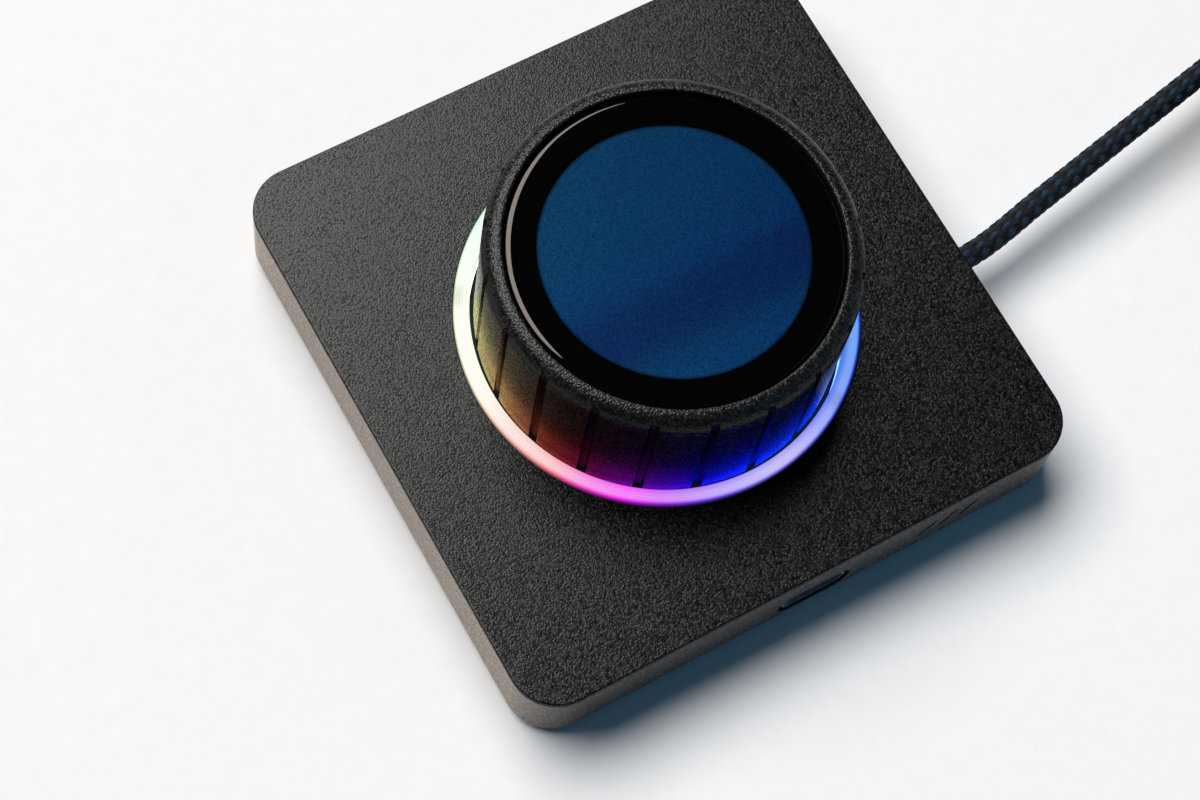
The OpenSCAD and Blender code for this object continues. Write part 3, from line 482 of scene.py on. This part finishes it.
def resample(path, at):
    step = np.linalg.norm(np.diff(path, axis=0), axis=1)
    s = np.concatenate([[0], np.cumsum(step)])
    return np.column_stack([np.interp(at, s, path[:, k]) for k in range(3)])


def path_length(path):
    return float(np.linalg.norm(np.diff(path, axis=0), axis=1).sum())


STRANDS = 8
LOZENGE = 2.3
BRAID_DEPTH = 0.26
FINE_STEP, COARSE_STEP, AHEAD_STEP = 0.14, 0.42, 0.3


def braid_cell(turn, along):
    """How many strands of each of the two sets lie before a place, with fractions."""
    a = STRANDS * turn / FULL_TURN - along / LOZENGE
    b = STRANDS * turn / FULL_TURN + along / LOZENGE
    return a, b


def braid_height(turn, along):
    a, b = braid_cell(turn, along)
    fa, fb = a - np.floor(a), b - np.floor(b)
    even = (np.floor(a) + np.floor(b)) % 2 < 0.5
    across = np.where(even, fa, fb)
    down = np.where(even, fb, fa)
    crown = np.sqrt(np.clip(1 - (2 * across - 1) ** 2, 0, 1)) ** 0.8
    return crown * (0.30 + 0.70 * np.sin(math.pi * down))


def braided_mesh(name, path, fine_to=86.0, cols=60):
    total = path_length(path)
    at = np.concatenate([np.arange(0, fine_to, FINE_STEP), np.arange(fine_to, total, COARSE_STEP), [total]])
    centre = resample(path, at)
    ahead = resample(path, np.clip(at + AHEAD_STEP, 0, total))
    ahead -= resample(path, np.clip(at - AHEAD_STEP, 0, total))
    ahead /= np.linalg.norm(ahead, axis=1)[:, None]
    side = np.cross(ahead, (0.0, 0.0, 1.0))
    side /= np.linalg.norm(side, axis=1)[:, None]
    up = np.cross(side, ahead)
    turn = np.linspace(0, FULL_TURN, cols, endpoint=False)
    s_grid, t_grid = np.meshgrid(at, turn, indexing="ij")
    r = CABLE_D / 2 - BRAID_DEPTH + BRAID_DEPTH * braid_height(t_grid, s_grid)
    ring = np.cos(t_grid)[..., None] * side[:, None, :] + np.sin(t_grid)[..., None] * up[:, None, :]
    pts = (centre[:, None, :] + r[..., None] * ring).reshape(-1, 3)
    faces = grid_faces(len(at), cols, False, True)
    last = (len(at) - 1) * cols
    faces += [tuple(range(cols))[::-1], tuple(range(last, last + cols))]
    mesh = bpy.data.meshes.new(name)
    mesh.from_pydata([tuple(v) for v in pts * MM], [], faces)
    mesh.shade_smooth()
    weave = mesh.uv_layers.new(name="weave")
    full = np.append(turn, FULL_TURN)
    i, j = np.meshgrid(np.arange(len(at) - 1), np.arange(cols), indexing="ij")
    i, j = i.ravel(), j.ravel()
    t4 = np.stack([full[j], full[j + 1], full[j + 1], full[j]], 1)
    s4 = np.stack([at[i], at[i], at[i + 1], at[i + 1]], 1)
    uv = np.stack(braid_cell(t4, s4), 2).reshape(-1, 2)
    uv = np.concatenate([uv, np.full((2 * cols, 2), 0.5)])
    weave.data.foreach_set("uv", uv.astype(np.float32).ravel())
    return mesh


def braid_material():
    """Two sets of strands, one black and one blue grey, with fine threads along each."""
    s = Shade("braid")
    uv = s.node("UVMap", uv_map="weave").outputs["UV"]
    a, b, _ = s.split(uv)
    fa, fb = s.math("FRACT", a), s.math("FRACT", b)
    cell = s.math("ADD", s.math("FLOOR", a), s.math("FLOOR", b))
    odd = s.math("FLOORED_MODULO", cell, 2.0)
    across = s.math("ADD", s.math("MULTIPLY", fa, s.math("SUBTRACT", 1.0, odd)), s.math("MULTIPLY", fb, odd))
    along = s.math("ADD", s.math("MULTIPLY", fb, s.math("SUBTRACT", 1.0, odd)), s.math("MULTIPLY", fa, odd))
    threads = 6
    thread = s.math("SINE", s.math("MULTIPLY", across, FULL_TURN * threads))
    edge = s.range(s.math("ABSOLUTE", s.math("SUBTRACT", across, 0.5)), 0.28, 0.5)
    dip = s.range(s.math("ABSOLUTE", s.math("SUBTRACT", along, 0.5)), 0.25, 0.5)
    fuzz = s.noise(5000, 2)
    black = s.mix(s.range(fuzz, 0.35, 0.7), (0.0006, 0.0006, 0.0008), (0.0022, 0.0024, 0.0028))
    blue = s.mix(s.range(fuzz, 0.35, 0.7), (0.003, 0.010, 0.022), (0.016, 0.046, 0.088))
    colour = s.mix(odd, black, blue)
    # Strand edges and the dips where a strand passes under are painted darker: painted shade.
    shade = s.math("MAXIMUM", edge, dip)
    colour = s.mix(s.math("MULTIPLY", shade, 0.75), colour, (0.0015, 0.002, 0.003))
    normal = s.bump(s.math("ADD", thread, s.math("MULTIPLY", fuzz, 0.8)), 0.45, 0.00004)
    return s.close(colour, 0.6, normal, Specular_IOR_Level=0.22)


def build_strap(width=4.0, thick=0.6, gap=0.4, soft=0.25):
    """The coil's tie: a soft loop round the coil's section."""
    r, half = CABLE_D / 2 + gap, width / 2
    x0, x1 = COIL_AT[0] + COIL_MIN, COIL_AT[0] + COIL_OUT
    loop = []
    for x, z, start in ((x1, COIL_HIGH, 0), (x0, COIL_HIGH, 90), (x0, COIL_LOW, 180), (x1, COIL_LOW, 270)):
        loop += [(x, z, math.radians(start + 9 * k)) for k in range(11)]
    section = arc(thick - soft, half - soft, soft, 90, 0, 5) + arc(thick - soft, soft - half, soft, 0, -90, 5)
    section += arc(soft, soft - half, soft, -90, -180, 5) + arc(soft, half - soft, soft, -180, -270, 5)
    pts = [
        (x + (r + off) * math.cos(t), COIL_AT[1] + y, z + (r + off) * math.sin(t))
        for off, y in section
        for x, z, t in loop
    ]
    faces = grid_faces(len(section), len(loop), True, True)
    return new_object("strap", mesh_from("strap", np.array(pts), faces), slot_material("tie_fabric"))


strap = build_strap()
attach(strap, "base")
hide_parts("cable_tie")
lead_path = cord_path()
lead = new_object("lead", braided_mesh("lead", lead_path), braid_material())
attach(lead, "base")
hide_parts("cable", "cable_coil")


# Base


def port_prism(name, w, h, y0, y1, steps=16):
    """An oblong bar along Y through the front wall."""
    half, r = (w - h) / 2, h / 2
    ring = arc(PORT[0] + half, PORT[1], r, -90, 90, steps)
    ring += arc(PORT[0] - half, PORT[1], r, 90, 270, steps)
    rows = [[(x, y, z) for x, z in ring] for y in (y0, y1)]
    n = len(ring)
    faces = grid_faces(2, n, False, True) + [tuple(range(n))[::-1], tuple(range(n, 2 * n))]
    return new_object(name, mesh_from(name, np.array(rows).reshape(-1, 3), faces))


def slit_box(name, x, z, slant=35, half=(0.3, 0.5, 1.8)):
    """A thin slanted bar that sits half in the front wall."""
    mesh = bpy.data.meshes.new(name)
    turn = Matrix.Rotation(math.radians(slant), 3, "Y")
    verts = []
    for k in range(8):
        corner = Vector([half[i] if k >> i & 1 else -half[i] for i in range(3)])
        verts.append((turn @ corner + Vector((x, -BASE_W / 2, z))) * MM)
    quads = [(2, 3, 1, 0), (5, 7, 6, 4), (1, 5, 4, 0), (6, 7, 3, 2), (4, 6, 2, 0), (3, 7, 5, 1)]
    mesh.from_pydata(verts, [], quads)
    return new_object(name, mesh)


def bush_hole(r=2.12, x_from=34.0, x_to=40.0, n=40):
    """A round bar along X where the lead leaves the wall."""
    turn = np.radians(np.linspace(0, 360, n, endpoint=False))
    ring = [(LEAD_Y + r * math.cos(t), LEAD_Z + r * math.sin(t)) for t in turn]
    rows = [[(x, y, z) for y, z in ring] for x in (x_from, x_to)]
    faces = grid_faces(2, n, False, True) + [tuple(range(n))[::-1], tuple(range(n, 2 * n))]
    return new_object("bush_hole", mesh_from("bush_hole", np.array(rows).reshape(-1, 3), faces))


def build_shell(wall=2.4, rebate=1.2, rebate_z=3.3, foot_r=0.25, top_r=0.12, hold=0.05):
    """The four walls. hold is how far a flat goes on past a rounded edge before the next row of points."""
    profile = [(wall, WALL_TOP), (wall, rebate_z), (rebate, rebate_z), (rebate, SHELL_LOW), (0.29, SHELL_LOW)]
    profile += [(foot_r - x, SHELL_LOW + foot_r - y) for x, y in arc(0, 0, foot_r, 90, 0, 5)]
    profile += [(0.0, SHELL_LOW + foot_r + hold), (0.0, 6.0), (0.0, WALL_TOP - top_r - hold)]
    profile += [(top_r - x, WALL_TOP - top_r + y) for x, y in arc(0, 0, top_r, 0, 90, 4)]
    profile += [(0.16, WALL_TOP)]
    rows = outline_rows(profile)
    faces = grid_faces(len(rows), len(rows[0]), True, True)
    obj = new_object("wall_band", mesh_from("wall_band", np.concatenate(rows), faces))
    front = -BASE_W / 2
    cutters = [
        port_prism("mouth", 10.4, 4.6, front + 0.9, front - 1.0),
        port_prism("port_hole", 9.3, 3.62, front + 4.0, front - 1.0),
        bush_hole(),
    ]
    slit_x, slit_pitch, slit_z = 17.0, 3.0, (SHELL_LOW + WALL_TOP) / 2
    cutters += [slit_box(f"slit_{k}", slit_x + slit_pitch * k, slit_z) for k in range(3)]
    return cut_with(obj, cutters)


shell = build_shell()
wall_plastic = sintered(
    "wall_plastic",
    dark=(0.002, 0.0019, 0.0018),
    light=(0.012, 0.011, 0.010),
    grain=0.9,
    rough=(0.10, 0.34),
    spec=0.44,
    dust=(0.36, (1.0, 0.76, 0.56)),
    depth=0.00005,
)
shell.data.materials.append(wall_plastic)
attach(shell, "base")
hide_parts("base_shell")


def build_plate(seam=0.5, low_r=0.08, top_r=0.22, clear=0.06, low=10.0, rim=2.55):
    """The top plate, from its seam with the walls over the top and down into the ring's hole."""
    hole = RING_OUT + clear
    edge = [(0.9, WALL_TOP), (seam, WALL_TOP), (seam, LIP_Z), (0.12, LIP_Z)]
    edge += [(low_r - x, LIP_Z + low_r - y) for x, y in arc(0, 0, low_r, 90, 0, 3)]
    edge += [(top_r - x, PLATE_TOP - top_r + y) for x, y in arc(0, 0, top_r, 0, 90, 6)]
    edge += [(0.30, PLATE_TOP), (1.2, PLATE_TOP)]
    rows = outline_rows(edge)
    turn = np.arctan2(rows[0][:, 1], rows[0][:, 0])
    inner = rows[-1][:, :2]
    for share in (0.35, 0.7):
        ring = inner * (1 - share) + share * (hole + 0.4) * np.column_stack([np.cos(turn), np.sin(turn)])
        rows.append(np.column_stack([ring, np.full(len(ring), PLATE_TOP)]))
    bevel = 0.06
    mouth = [(hole + 0.20, PLATE_TOP), (hole + bevel, PLATE_TOP)]
    mouth += [(hole, PLATE_TOP - bevel), (hole, low + 0.05)]
    for r, z in mouth:
        rows.append(np.column_stack([r * np.cos(turn), r * np.sin(turn), np.full(len(turn), z)]))
    rows += outline_rows([(rim, low), (rim, WALL_TOP)])
    faces = grid_faces(len(rows), len(rows[0]), True, True)
    return new_object("plate_skin", mesh_from("plate_skin", np.concatenate(rows), faces, 40))


plate = build_plate()
plate_plastic = sintered(
    "plate_plastic",
    dark=(0.0007, 0.00066, 0.00062),
    light=(0.0052, 0.0048, 0.0044),
    # The black line along the plate's outline is a painted shadow of the seam.
    mark=painted_seam_shadow,
    rough=(0.16, 0.30),
    spec=0.37,
    depth=0.000016,
    calm=0.55,
)
plate.data.materials.append(plate_plastic)
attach(plate, "base")
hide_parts("top_plate")


def ring_material():
    """Diffuser lit from below: pale where it is seen from outside, and a deep hue toward the dial."""
    s = Shade("ring_glow")
    x, y, z = s.split()
    turn = s.math("DIVIDE", s.math("ADD", s.math("ARCTAN2", y, x), math.pi), FULL_TURN)
    # Turn 0 is the -X side, and it runs anticlockwise
    pale = [
        (0.00, (1.05, 1.00, 0.92)),
        (0.03, (1.0, 0.86, 0.80)),
        (0.06, (1.0, 0.74, 0.71)),
        (0.085, (1.0, 0.58, 0.67)),
        (0.11, (0.98, 0.35, 0.88)),
        (0.14, (0.98, 0.24, 1.0)),
        (0.17, (0.74, 0.28, 1.0)),
        (0.20, (0.61, 0.39, 1.0)),
        (0.25, (0.59, 0.54, 1.0)),
        (0.28, (0.60, 0.56, 1.0)),
        (0.32, (0.40, 0.46, 1.0)),
        (0.37, (0.22, 0.40, 0.96)),
        (0.45, (0.14, 0.42, 0.96)),
        (0.58, (0.30, 0.80, 0.96)),
        (0.72, (0.62, 1.04, 0.80)),
        (0.86, (0.96, 1.06, 0.96)),
        (0.92, (1.02, 1.06, 0.97)),
        (1.00, (1.05, 1.00, 0.92)),
    ]
    deep = [
        (0.00, (2.9, 1.75, 0.65)),
        (0.03, (2.5, 0.85, 0.42)),
        (0.06, (1.6, 0.22, 0.11)),
        (0.085, (1.45, 0.06, 0.16)),
        (0.11, (0.95, 0.02, 0.58)),
        (0.14, (0.85, 0.01, 1.6)),
        (0.17, (0.40, 0.01, 2.5)),
        (0.20, (0.03, 0.01, 3.2)),
        (0.25, (0.005, 0.05, 3.3)),
        (0.28, (0.005, 0.05, 1.9)),
        (0.32, (0.005, 0.06, 1.6)),
        (0.37, (0.005, 0.10, 1.4)),
        (0.45, (0.02, 0.40, 2.0)),
        (0.58, (0.10, 1.4, 3.0)),
        (0.72, (0.80, 2.4, 1.8)),
        (0.86, (1.9, 2.2, 1.2)),
        (0.92, (2.6, 2.7, 1.3)),
        (1.00, (2.9, 1.75, 0.65)),
    ]
    r = s.radius(x, y)
    lean_out, lean_up = 0.90, 0.44
    lean_x = s.math("DIVIDE", s.math("MULTIPLY", x, lean_out), r)
    lean_y = s.math("DIVIDE", s.math("MULTIPLY", y, lean_out), r)
    outward = s.node("CombineXYZ", {"X": lean_x, "Y": lean_y, "Z": lean_up}).outputs[0]
    turned = s.node("LayerWeight", {"Blend": 0.5, "Normal": outward}).outputs["Facing"]
    near = s.math("POWER", s.range(r, RING_IN * MM, RING_OUT * MM, 1.0, 0.0), 1.8)
    fade = s.math("ADD", s.math("MULTIPLY", near, 0.62), 0.03)
    inward = s.mix(1.0, s.ramp(turn, deep), fade, "MULTIPLY")
    outer = s.ramp(turn, pale)
    # The hue is purer toward both edges of the ring
    middle = 24.25
    off_middle = s.math("ABSOLUTE", s.math("SUBTRACT", r, middle * MM))
    rim = s.range(off_middle, 0.25 * MM, 0.95 * MM, 0.0, 0.75)
    outer = s.mix(rim, outer, s.mix(1.0, outer, outer, "MULTIPLY"))
    outer_edge = s.range(r, (middle + 0.40) * MM, (middle + 0.70) * MM)
    outer = s.mix(outer_edge, outer, s.mix(1.0, outer, outer, "MULTIPLY"))
    # The deep hue is kept to the half round the corner at -X and -Y
    front_x, front_y = -0.698, -0.716
    ahead = s.math("ADD", s.math("MULTIPLY", x, front_x), s.math("MULTIPLY", y, front_y))
    flank = s.math("DIVIDE", ahead, r)
    inward = s.mix(s.range(flank, 0.14, 0.25, 1.0, 0.0), inward, outer)
    hue = s.mix(s.range(turned, 0.555, 0.63), outer, inward)
    streak_pitch = 0.36
    streak = s.math("SINE", s.math("MULTIPLY", r, FULL_TURN / (streak_pitch * MM)))
    shift = s.range(x, -25 * MM, 5 * MM, 0.20 * MM, 0.0)
    lit_r = s.math("SUBTRACT", r, shift)
    edge = s.range(lit_r, (RING_OUT - 0.38) * MM, (RING_OUT - 0.04) * MM, 1.0, 0.02)
    lip = s.range(z, (RING_TOP - 1.0) * MM, (RING_TOP - 0.3) * MM, 0.04, 1.0)
    inside = s.math("LESS_THAN", r, (RING_IN + 0.08) * MM)
    wall = s.math("MULTIPLY", inside, s.range(z, 9.4 * MM, 11.8 * MM, 6.0, 0.9))
    wall = s.math("MULTIPLY", wall, s.range(x, -22 * MM, 4 * MM, 0.30, 1.0))
    level = s.math("MAXIMUM", s.math("MULTIPLY", edge, lip), wall)
    power = s.math("MULTIPLY", level, s.math("ADD", 0.94, s.math("MULTIPLY", streak, 0.05)))
    normal = s.bump(s.noise(2500, 2), 0.1, 0.00003)
    glow = {"Emission_Color": hue, "Emission_Strength": power}
    return s.close((0.01, 0.01, 0.01), 0.5, normal, Specular_IOR_Level=0.1, **glow)


def build_ring(out_r=0.45, in_r=0.30):
    """The diffuser with its flange under the plate."""
    profile = [(FLANGE_R, RING_FOOT), (FLANGE_R, FLANGE_TOP), (RING_OUT, FLANGE_TOP)]
    profile += [(RING_OUT, RING_TOP - 0.5)]
    profile += arc(RING_OUT - out_r, RING_TOP - out_r, out_r, 0, 90, 7)
    profile += arc(RING_IN + in_r, RING_TOP - in_r, in_r, 90, 180, 6)
    profile += [(RING_IN, RING_FOOT)]
    return new_object("glow_ring", lathe("glow_ring", profile, 256))


ring = build_ring()
ring.data.materials.append(ring_material())
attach(ring, "base")
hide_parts("light_ring")


# Dial


def groove_turns(groove_r=0.6, groove_depth=0.55, span=1.25, soft=0.05):
    """Angles round the dial and the radius at each, where round grooves with soft edges are cut in."""
    centre = KNOB_R + groove_r - groove_depth
    reach = math.acos((KNOB_R**2 + centre**2 - groove_r**2) / (2 * KNOB_R * centre))
    near = np.linspace(-span, span, 26) * reach
    pitch = FULL_TURN / GROOVES
    flat = np.linspace(span * reach, pitch - span * reach, 16)[1:-1]
    turns, cuts = [], []
    for k in range(GROOVES):
        for d in np.concatenate([near, flat]):
            turns.append(k * pitch + d)
            inside = groove_r**2 - (centre * math.sin(d)) ** 2
            cut = 2 * KNOB_R
            if abs(d) < 2 * reach and inside > 0:
                cut = centre * math.cos(d) - math.sqrt(inside)
            h = max(0.0, soft - abs(KNOB_R - cut)) / soft
            cuts.append(min(KNOB_R, cut) - 0.25 * h * h * soft)
    return np.array(turns), np.array(cuts)


def build_knob(chamfer=0.42, ease=0.04, lip=0.14, seat=3.0, seat_z=20.6):
    """The dial's outer ring: skirt, grooved side, rounded rim, bore and the seat inside."""
    turns, cuts = groove_turns()
    round_r = KNOB_R - SHOULDER
    start = np.arccos(np.clip((cuts - round_r) / SHOULDER, -1, 1))
    rows = []

    def row(r, z):
        r = np.broadcast_to(r, turns.shape)
        rows.append(np.column_stack([r * np.cos(turns), r * np.sin(turns), np.broadcast_to(z, turns.shape)]))

    row(KNOB_BORE, SKIRT_Z)
    row(cuts - chamfer, SKIRT_Z)
    row(cuts - chamfer + ease, SKIRT_Z + ease / 2)
    row(cuts - ease / 2, SKIRT_Z + chamfer - ease)
    row(cuts, SKIRT_Z + chamfer)
    row(cuts, SKIRT_Z + 0.47)
    top = RIM_Z - SHOULDER + SHOULDER * np.sin(start)
    for share in (0.06, 0.3, 0.6, 0.85, 0.95):
        row(cuts, SKIRT_Z + chamfer + (top - SKIRT_Z - chamfer) * share)
    for share in np.linspace(0, 1, 15):
        t = start + (math.pi / 2 - start) * share
        row(round_r + SHOULDER * np.cos(t), RIM_Z - SHOULDER + SHOULDER * np.sin(t))
    row(KNOB_BORE + lip, RIM_Z)
    row(KNOB_BORE + 0.11, RIM_Z - 0.02)
    row(KNOB_BORE + 0.02, RIM_Z - 0.11)
    row(KNOB_BORE, RIM_Z - lip)
    row(KNOB_BORE, 25.0)
    row(KNOB_BORE - seat, seat_z + 2.0)
    row(KNOB_BORE - seat, seat_z)
    row(KNOB_BORE, seat_z)
    # Grains that break up the outline of the rounded rim
    grains = np.random.default_rng(7)
    rounded = rows[12:24]
    for k, ring in enumerate(rounded):
        share = math.sin(math.pi * (k + 1) / (len(rounded) + 1))
        ring[:, :2] *= 1 - share * grains.uniform(0, 0.0010, len(ring))[:, None]
        ring[:, 2] -= share * grains.uniform(0, 0.022, len(ring))
    faces = grid_faces(len(rows), len(turns), True, True)
    return new_object("dial_ring", mesh_from("dial_ring", np.concatenate(rows), faces, 50))


knob = build_knob()
dial_plastic = sintered(
    "dial_plastic",
    dark=(0.0010, 0.0010, 0.0010),
    light=(0.0065, 0.0064, 0.0063),
    # The rim's paler top is a painted highlight.
    mark=rim_painted_highlight,
    grain=0.85,
    rough=(0.15, 0.28),
    spec=0.42,
    depth=0.000017,
    # The grooves are painted dark, as painted shade.
    hollow=groove_painted_shade,
    matt=DIAL_MATT,
)
knob.data.materials.append(dial_plastic)
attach(knob, "knob")
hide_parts("knob_shell")


# Screen under its glass


def glass_material():
    s = Shade("cover_glass")
    smear = s.noise(38, 4, 0.6)
    rough = s.range(smear, 0.45, 0.8, 0.0, 0.008)
    return s.close((0.93, 0.95, 0.97), rough, Transmission_Weight=1.0, IOR=1.45)


def print_material():
    """Glass over black print: all that shows is its gloss."""
    s = Shade("printed_glass")
    smear = s.noise(38, 4, 0.6)
    rough = s.range(smear, 0.45, 0.8, 0.02, 0.04)
    tint = (1.0, 0.89, 0.79, 1.0)
    return s.close((0.0004, 0.0004, 0.0005), rough, Specular_IOR_Level=0.45, Specular_Tint=tint)


def build_lens(edge_w=0.6, edge_r=1.0, hold=0.3, n=768):
    """Round glass with a rounded edge, clear over the screen and printed black round it."""
    bend = math.degrees(math.asin(edge_w / edge_r))
    low = LENS_Z + 0.02
    profile = [(SCREEN_R, low), (LENS_R - 0.05, low), (LENS_R, low + 0.05)]
    profile += arc(LENS_R - edge_w, LENS_TOP - edge_r, edge_r, 90 - bend, 90, 14)
    profile += [(LENS_R - edge_w - hold, LENS_TOP), (SCREEN_R + hold, LENS_TOP)]
    turn = np.linspace(0, FULL_TURN, n, endpoint=False)
    verts = [(0, 0, low)]
    for r, z in profile:
        verts += [(r * math.cos(t), r * math.sin(t), z) for t in turn]
    verts.append((0, 0, LENS_TOP))
    faces = [(0, 1 + (j + 1) % n, 1 + j) for j in range(n)]
    for i in range(len(profile) - 1):
        for j in range(n):
            a, b = 1 + i * n + j, 1 + i * n + (j + 1) % n
            faces.append((a, b, b + n, a + n))
    last = 1 + (len(profile) - 1) * n
    faces += [(last + j, last + (j + 1) % n, len(verts) - 1) for j in range(n)]
    mesh = mesh_from("watch_glass", np.array(verts), faces, 12)
    mesh.materials.append(glass_material())
    mesh.materials.append(slot_material("border_tape"))
    mesh.materials.append(print_material())
    top_from = 4 * n
    for face in mesh.polygons[n:-n]:
        face.material_index = 1 if face.index < top_from else 2
    return new_object("watch_glass", mesh)


glass = build_lens()
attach(glass, "head")
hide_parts("lens")


def disc_mesh(name, r_in, r_out, top):
    profile = [(r_in, SCREEN_LOW), (r_out, SCREEN_LOW), (r_out, top), (r_in, top)]
    return lathe(name, profile, sharp=30)


def screen_material():
    """Lit panel: an even blue with one dark band across it, a little brighter toward -X."""
    s = Shade("screen_glow")
    x, y, _ = s.split()
    wave_depth = 1.6
    wave = s.math("ADD", y, s.math("MULTIPLY", s.noise(60, 2), wave_depth * MM))
    across = s.range(wave, (wave_depth / 2 - SCREEN_R) * MM, (wave_depth / 2 + SCREEN_R) * MM)
    stops = [
        (0.07, (0.0016, 0.0345, 0.1120)),
        (0.13, (0.0016, 0.0310, 0.1000)),
        (0.19, (0.0016, 0.0225, 0.0810)),
        (0.25, (0.0018, 0.0178, 0.0800)),
        (0.32, (0.0018, 0.0176, 0.0760)),
        (0.38, (0.0017, 0.0200, 0.0800)),
        (0.44, (0.0016, 0.0280, 0.0990)),
        (0.50, (0.0016, 0.0318, 0.1000)),
        (0.68, (0.0018, 0.0355, 0.0980)),
        (0.93, (0.0022, 0.0370, 0.0980)),
    ]
    side = s.mix(s.range(x, -SCREEN_R * MM, SCREEN_R * MM), (1.5, 1.24, 1.16), (0.5, 0.74, 0.86))
    tone = s.mix(1.0, s.ramp(across, stops), side, "MULTIPLY")
    grain = s.range(s.noise(7500, 1), 0.25, 0.75, 0.45, 1.80)
    soft_edge = s.range(s.radius(x, y), (SCREEN_R - 0.40) * MM, SCREEN_R * MM, 1.0, 0.25)
    glow = {"Emission_Color": tone, "Emission_Strength": s.math("MULTIPLY", grain, soft_edge)}
    return s.close((0.0004, 0.0005, 0.0006), 0.6, Specular_IOR_Level=0.0, **glow)


screen = new_object("screen", disc_mesh("screen", 0.001, SCREEN_R, SCREEN_TOP), screen_material())
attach(screen, "head")
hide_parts("polariser")
border_mesh = disc_mesh("border", SCREEN_R + 0.02, BORDER_R, BORDER_TOP)
border = new_object("border", border_mesh, slot_material("border_tape"))
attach(border, "head")
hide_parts("lens_gasket")


# Press flexure and its gauges


def add_flattened(node, name, slot):
    """A copy of a CAD piece with its own material, fixed to the base."""
    source = frame["nodes"][node]
    mesh = source.data.copy()
    mesh.transform(source.matrix_world)
    mesh.materials.clear()
    piece = new_object(name, mesh, slot_material(slot))
    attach(piece, "base")
    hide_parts(node)
    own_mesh(piece)


add_flattened("press_flexure", "flexure_sheet", "steel")
add_flattened("strain_gauges", "gauge_films", "gauge_film")


# CAD pieces that are shown as they are


def dress_cad():
    slots = {p["node"]: p["material_slot"] for p in frame["record"]["subparts"]}
    for node, obj in frame["nodes"].items():
        if obj.hide_render:
            continue
        material = slot_material(slots[node])
        for mesh_obj in [obj, *obj.children_recursive]:
            if mesh_obj.type == "MESH":
                mesh_obj.data.materials.clear()
                mesh_obj.data.materials.append(material)


dress_cad()


# Floor and light


def add_floor():
    s = Shade("floor")
    fine = s.noise(400, 2)
    tone = s.mix(s.range(fine, 0.3, 0.7), (0.90, 0.90, 0.90), (0.92, 0.92, 0.92))
    material = s.close(tone, 0.7, Specular_IOR_Level=0.12)
    mesh = bpy.data.meshes.new("floor")
    mesh.from_pydata([(-2, -2, 0), (2, -2, 0), (2, 2, 0), (-2, 2, 0)], [], [(0, 1, 2, 3)])
    new_object("floor", mesh, material)


def add_lamp(name, turn, rise, away, size, power, colour):
    """A soft oval lamp that looks at the object. turn and rise are its direction in degrees."""
    t, e = math.radians(turn), math.radians(rise)
    place = Vector((math.cos(e) * math.cos(t), math.cos(e) * math.sin(t), math.sin(e))) * away
    data = bpy.data.lights.new(name, "AREA")
    data.shape = "ELLIPSE"
    data.size, data.size_y = size
    data.energy = power
    data.color = colour
    lamp = bpy.data.objects.new(name, data)
    lamp.location = place
    lamp.rotation_euler = (-place).to_track_quat("-Z", "Y").to_euler()
    scene.collection.objects.link(lamp)


def add_world():
    """A dim surround that is white where it is seen behind the object."""
    world = bpy.data.worlds.new("world")
    world.use_nodes = True
    tree = world.node_tree
    dim = tree.nodes["Background"]
    dim.inputs["Color"].default_value = (0.9, 0.95, 1.0, 1.0)
    dim.inputs["Strength"].default_value = 0.030
    white = tree.nodes.new("ShaderNodeBackground")
    white.inputs["Color"].default_value = (0.93, 0.93, 0.93, 1.0)
    seen = tree.nodes.new("ShaderNodeLightPath").outputs["Is Camera Ray"]
    blend = tree.nodes.new("ShaderNodeMixShader")
    tree.links.new(seen, blend.inputs[0])
    tree.links.new(dim.outputs[0], blend.inputs[1])
    tree.links.new(white.outputs[0], blend.inputs[2])
    tree.links.new(blend.outputs[0], tree.nodes["World Output"].inputs["Surface"])
    scene.world = world


add_floor()
add_world()
add_lamp("key", turn=107, rise=58, away=4.0, size=(4.4, 2.95), power=222.0, colour=(1.0, 0.99, 0.98))
add_lamp("fill", turn=312, rise=26, away=0.9, size=(1.4, 0.45), power=1.1, colour=(0.02, 0.5, 1.0))
scene.view_settings.view_transform = "Standard"
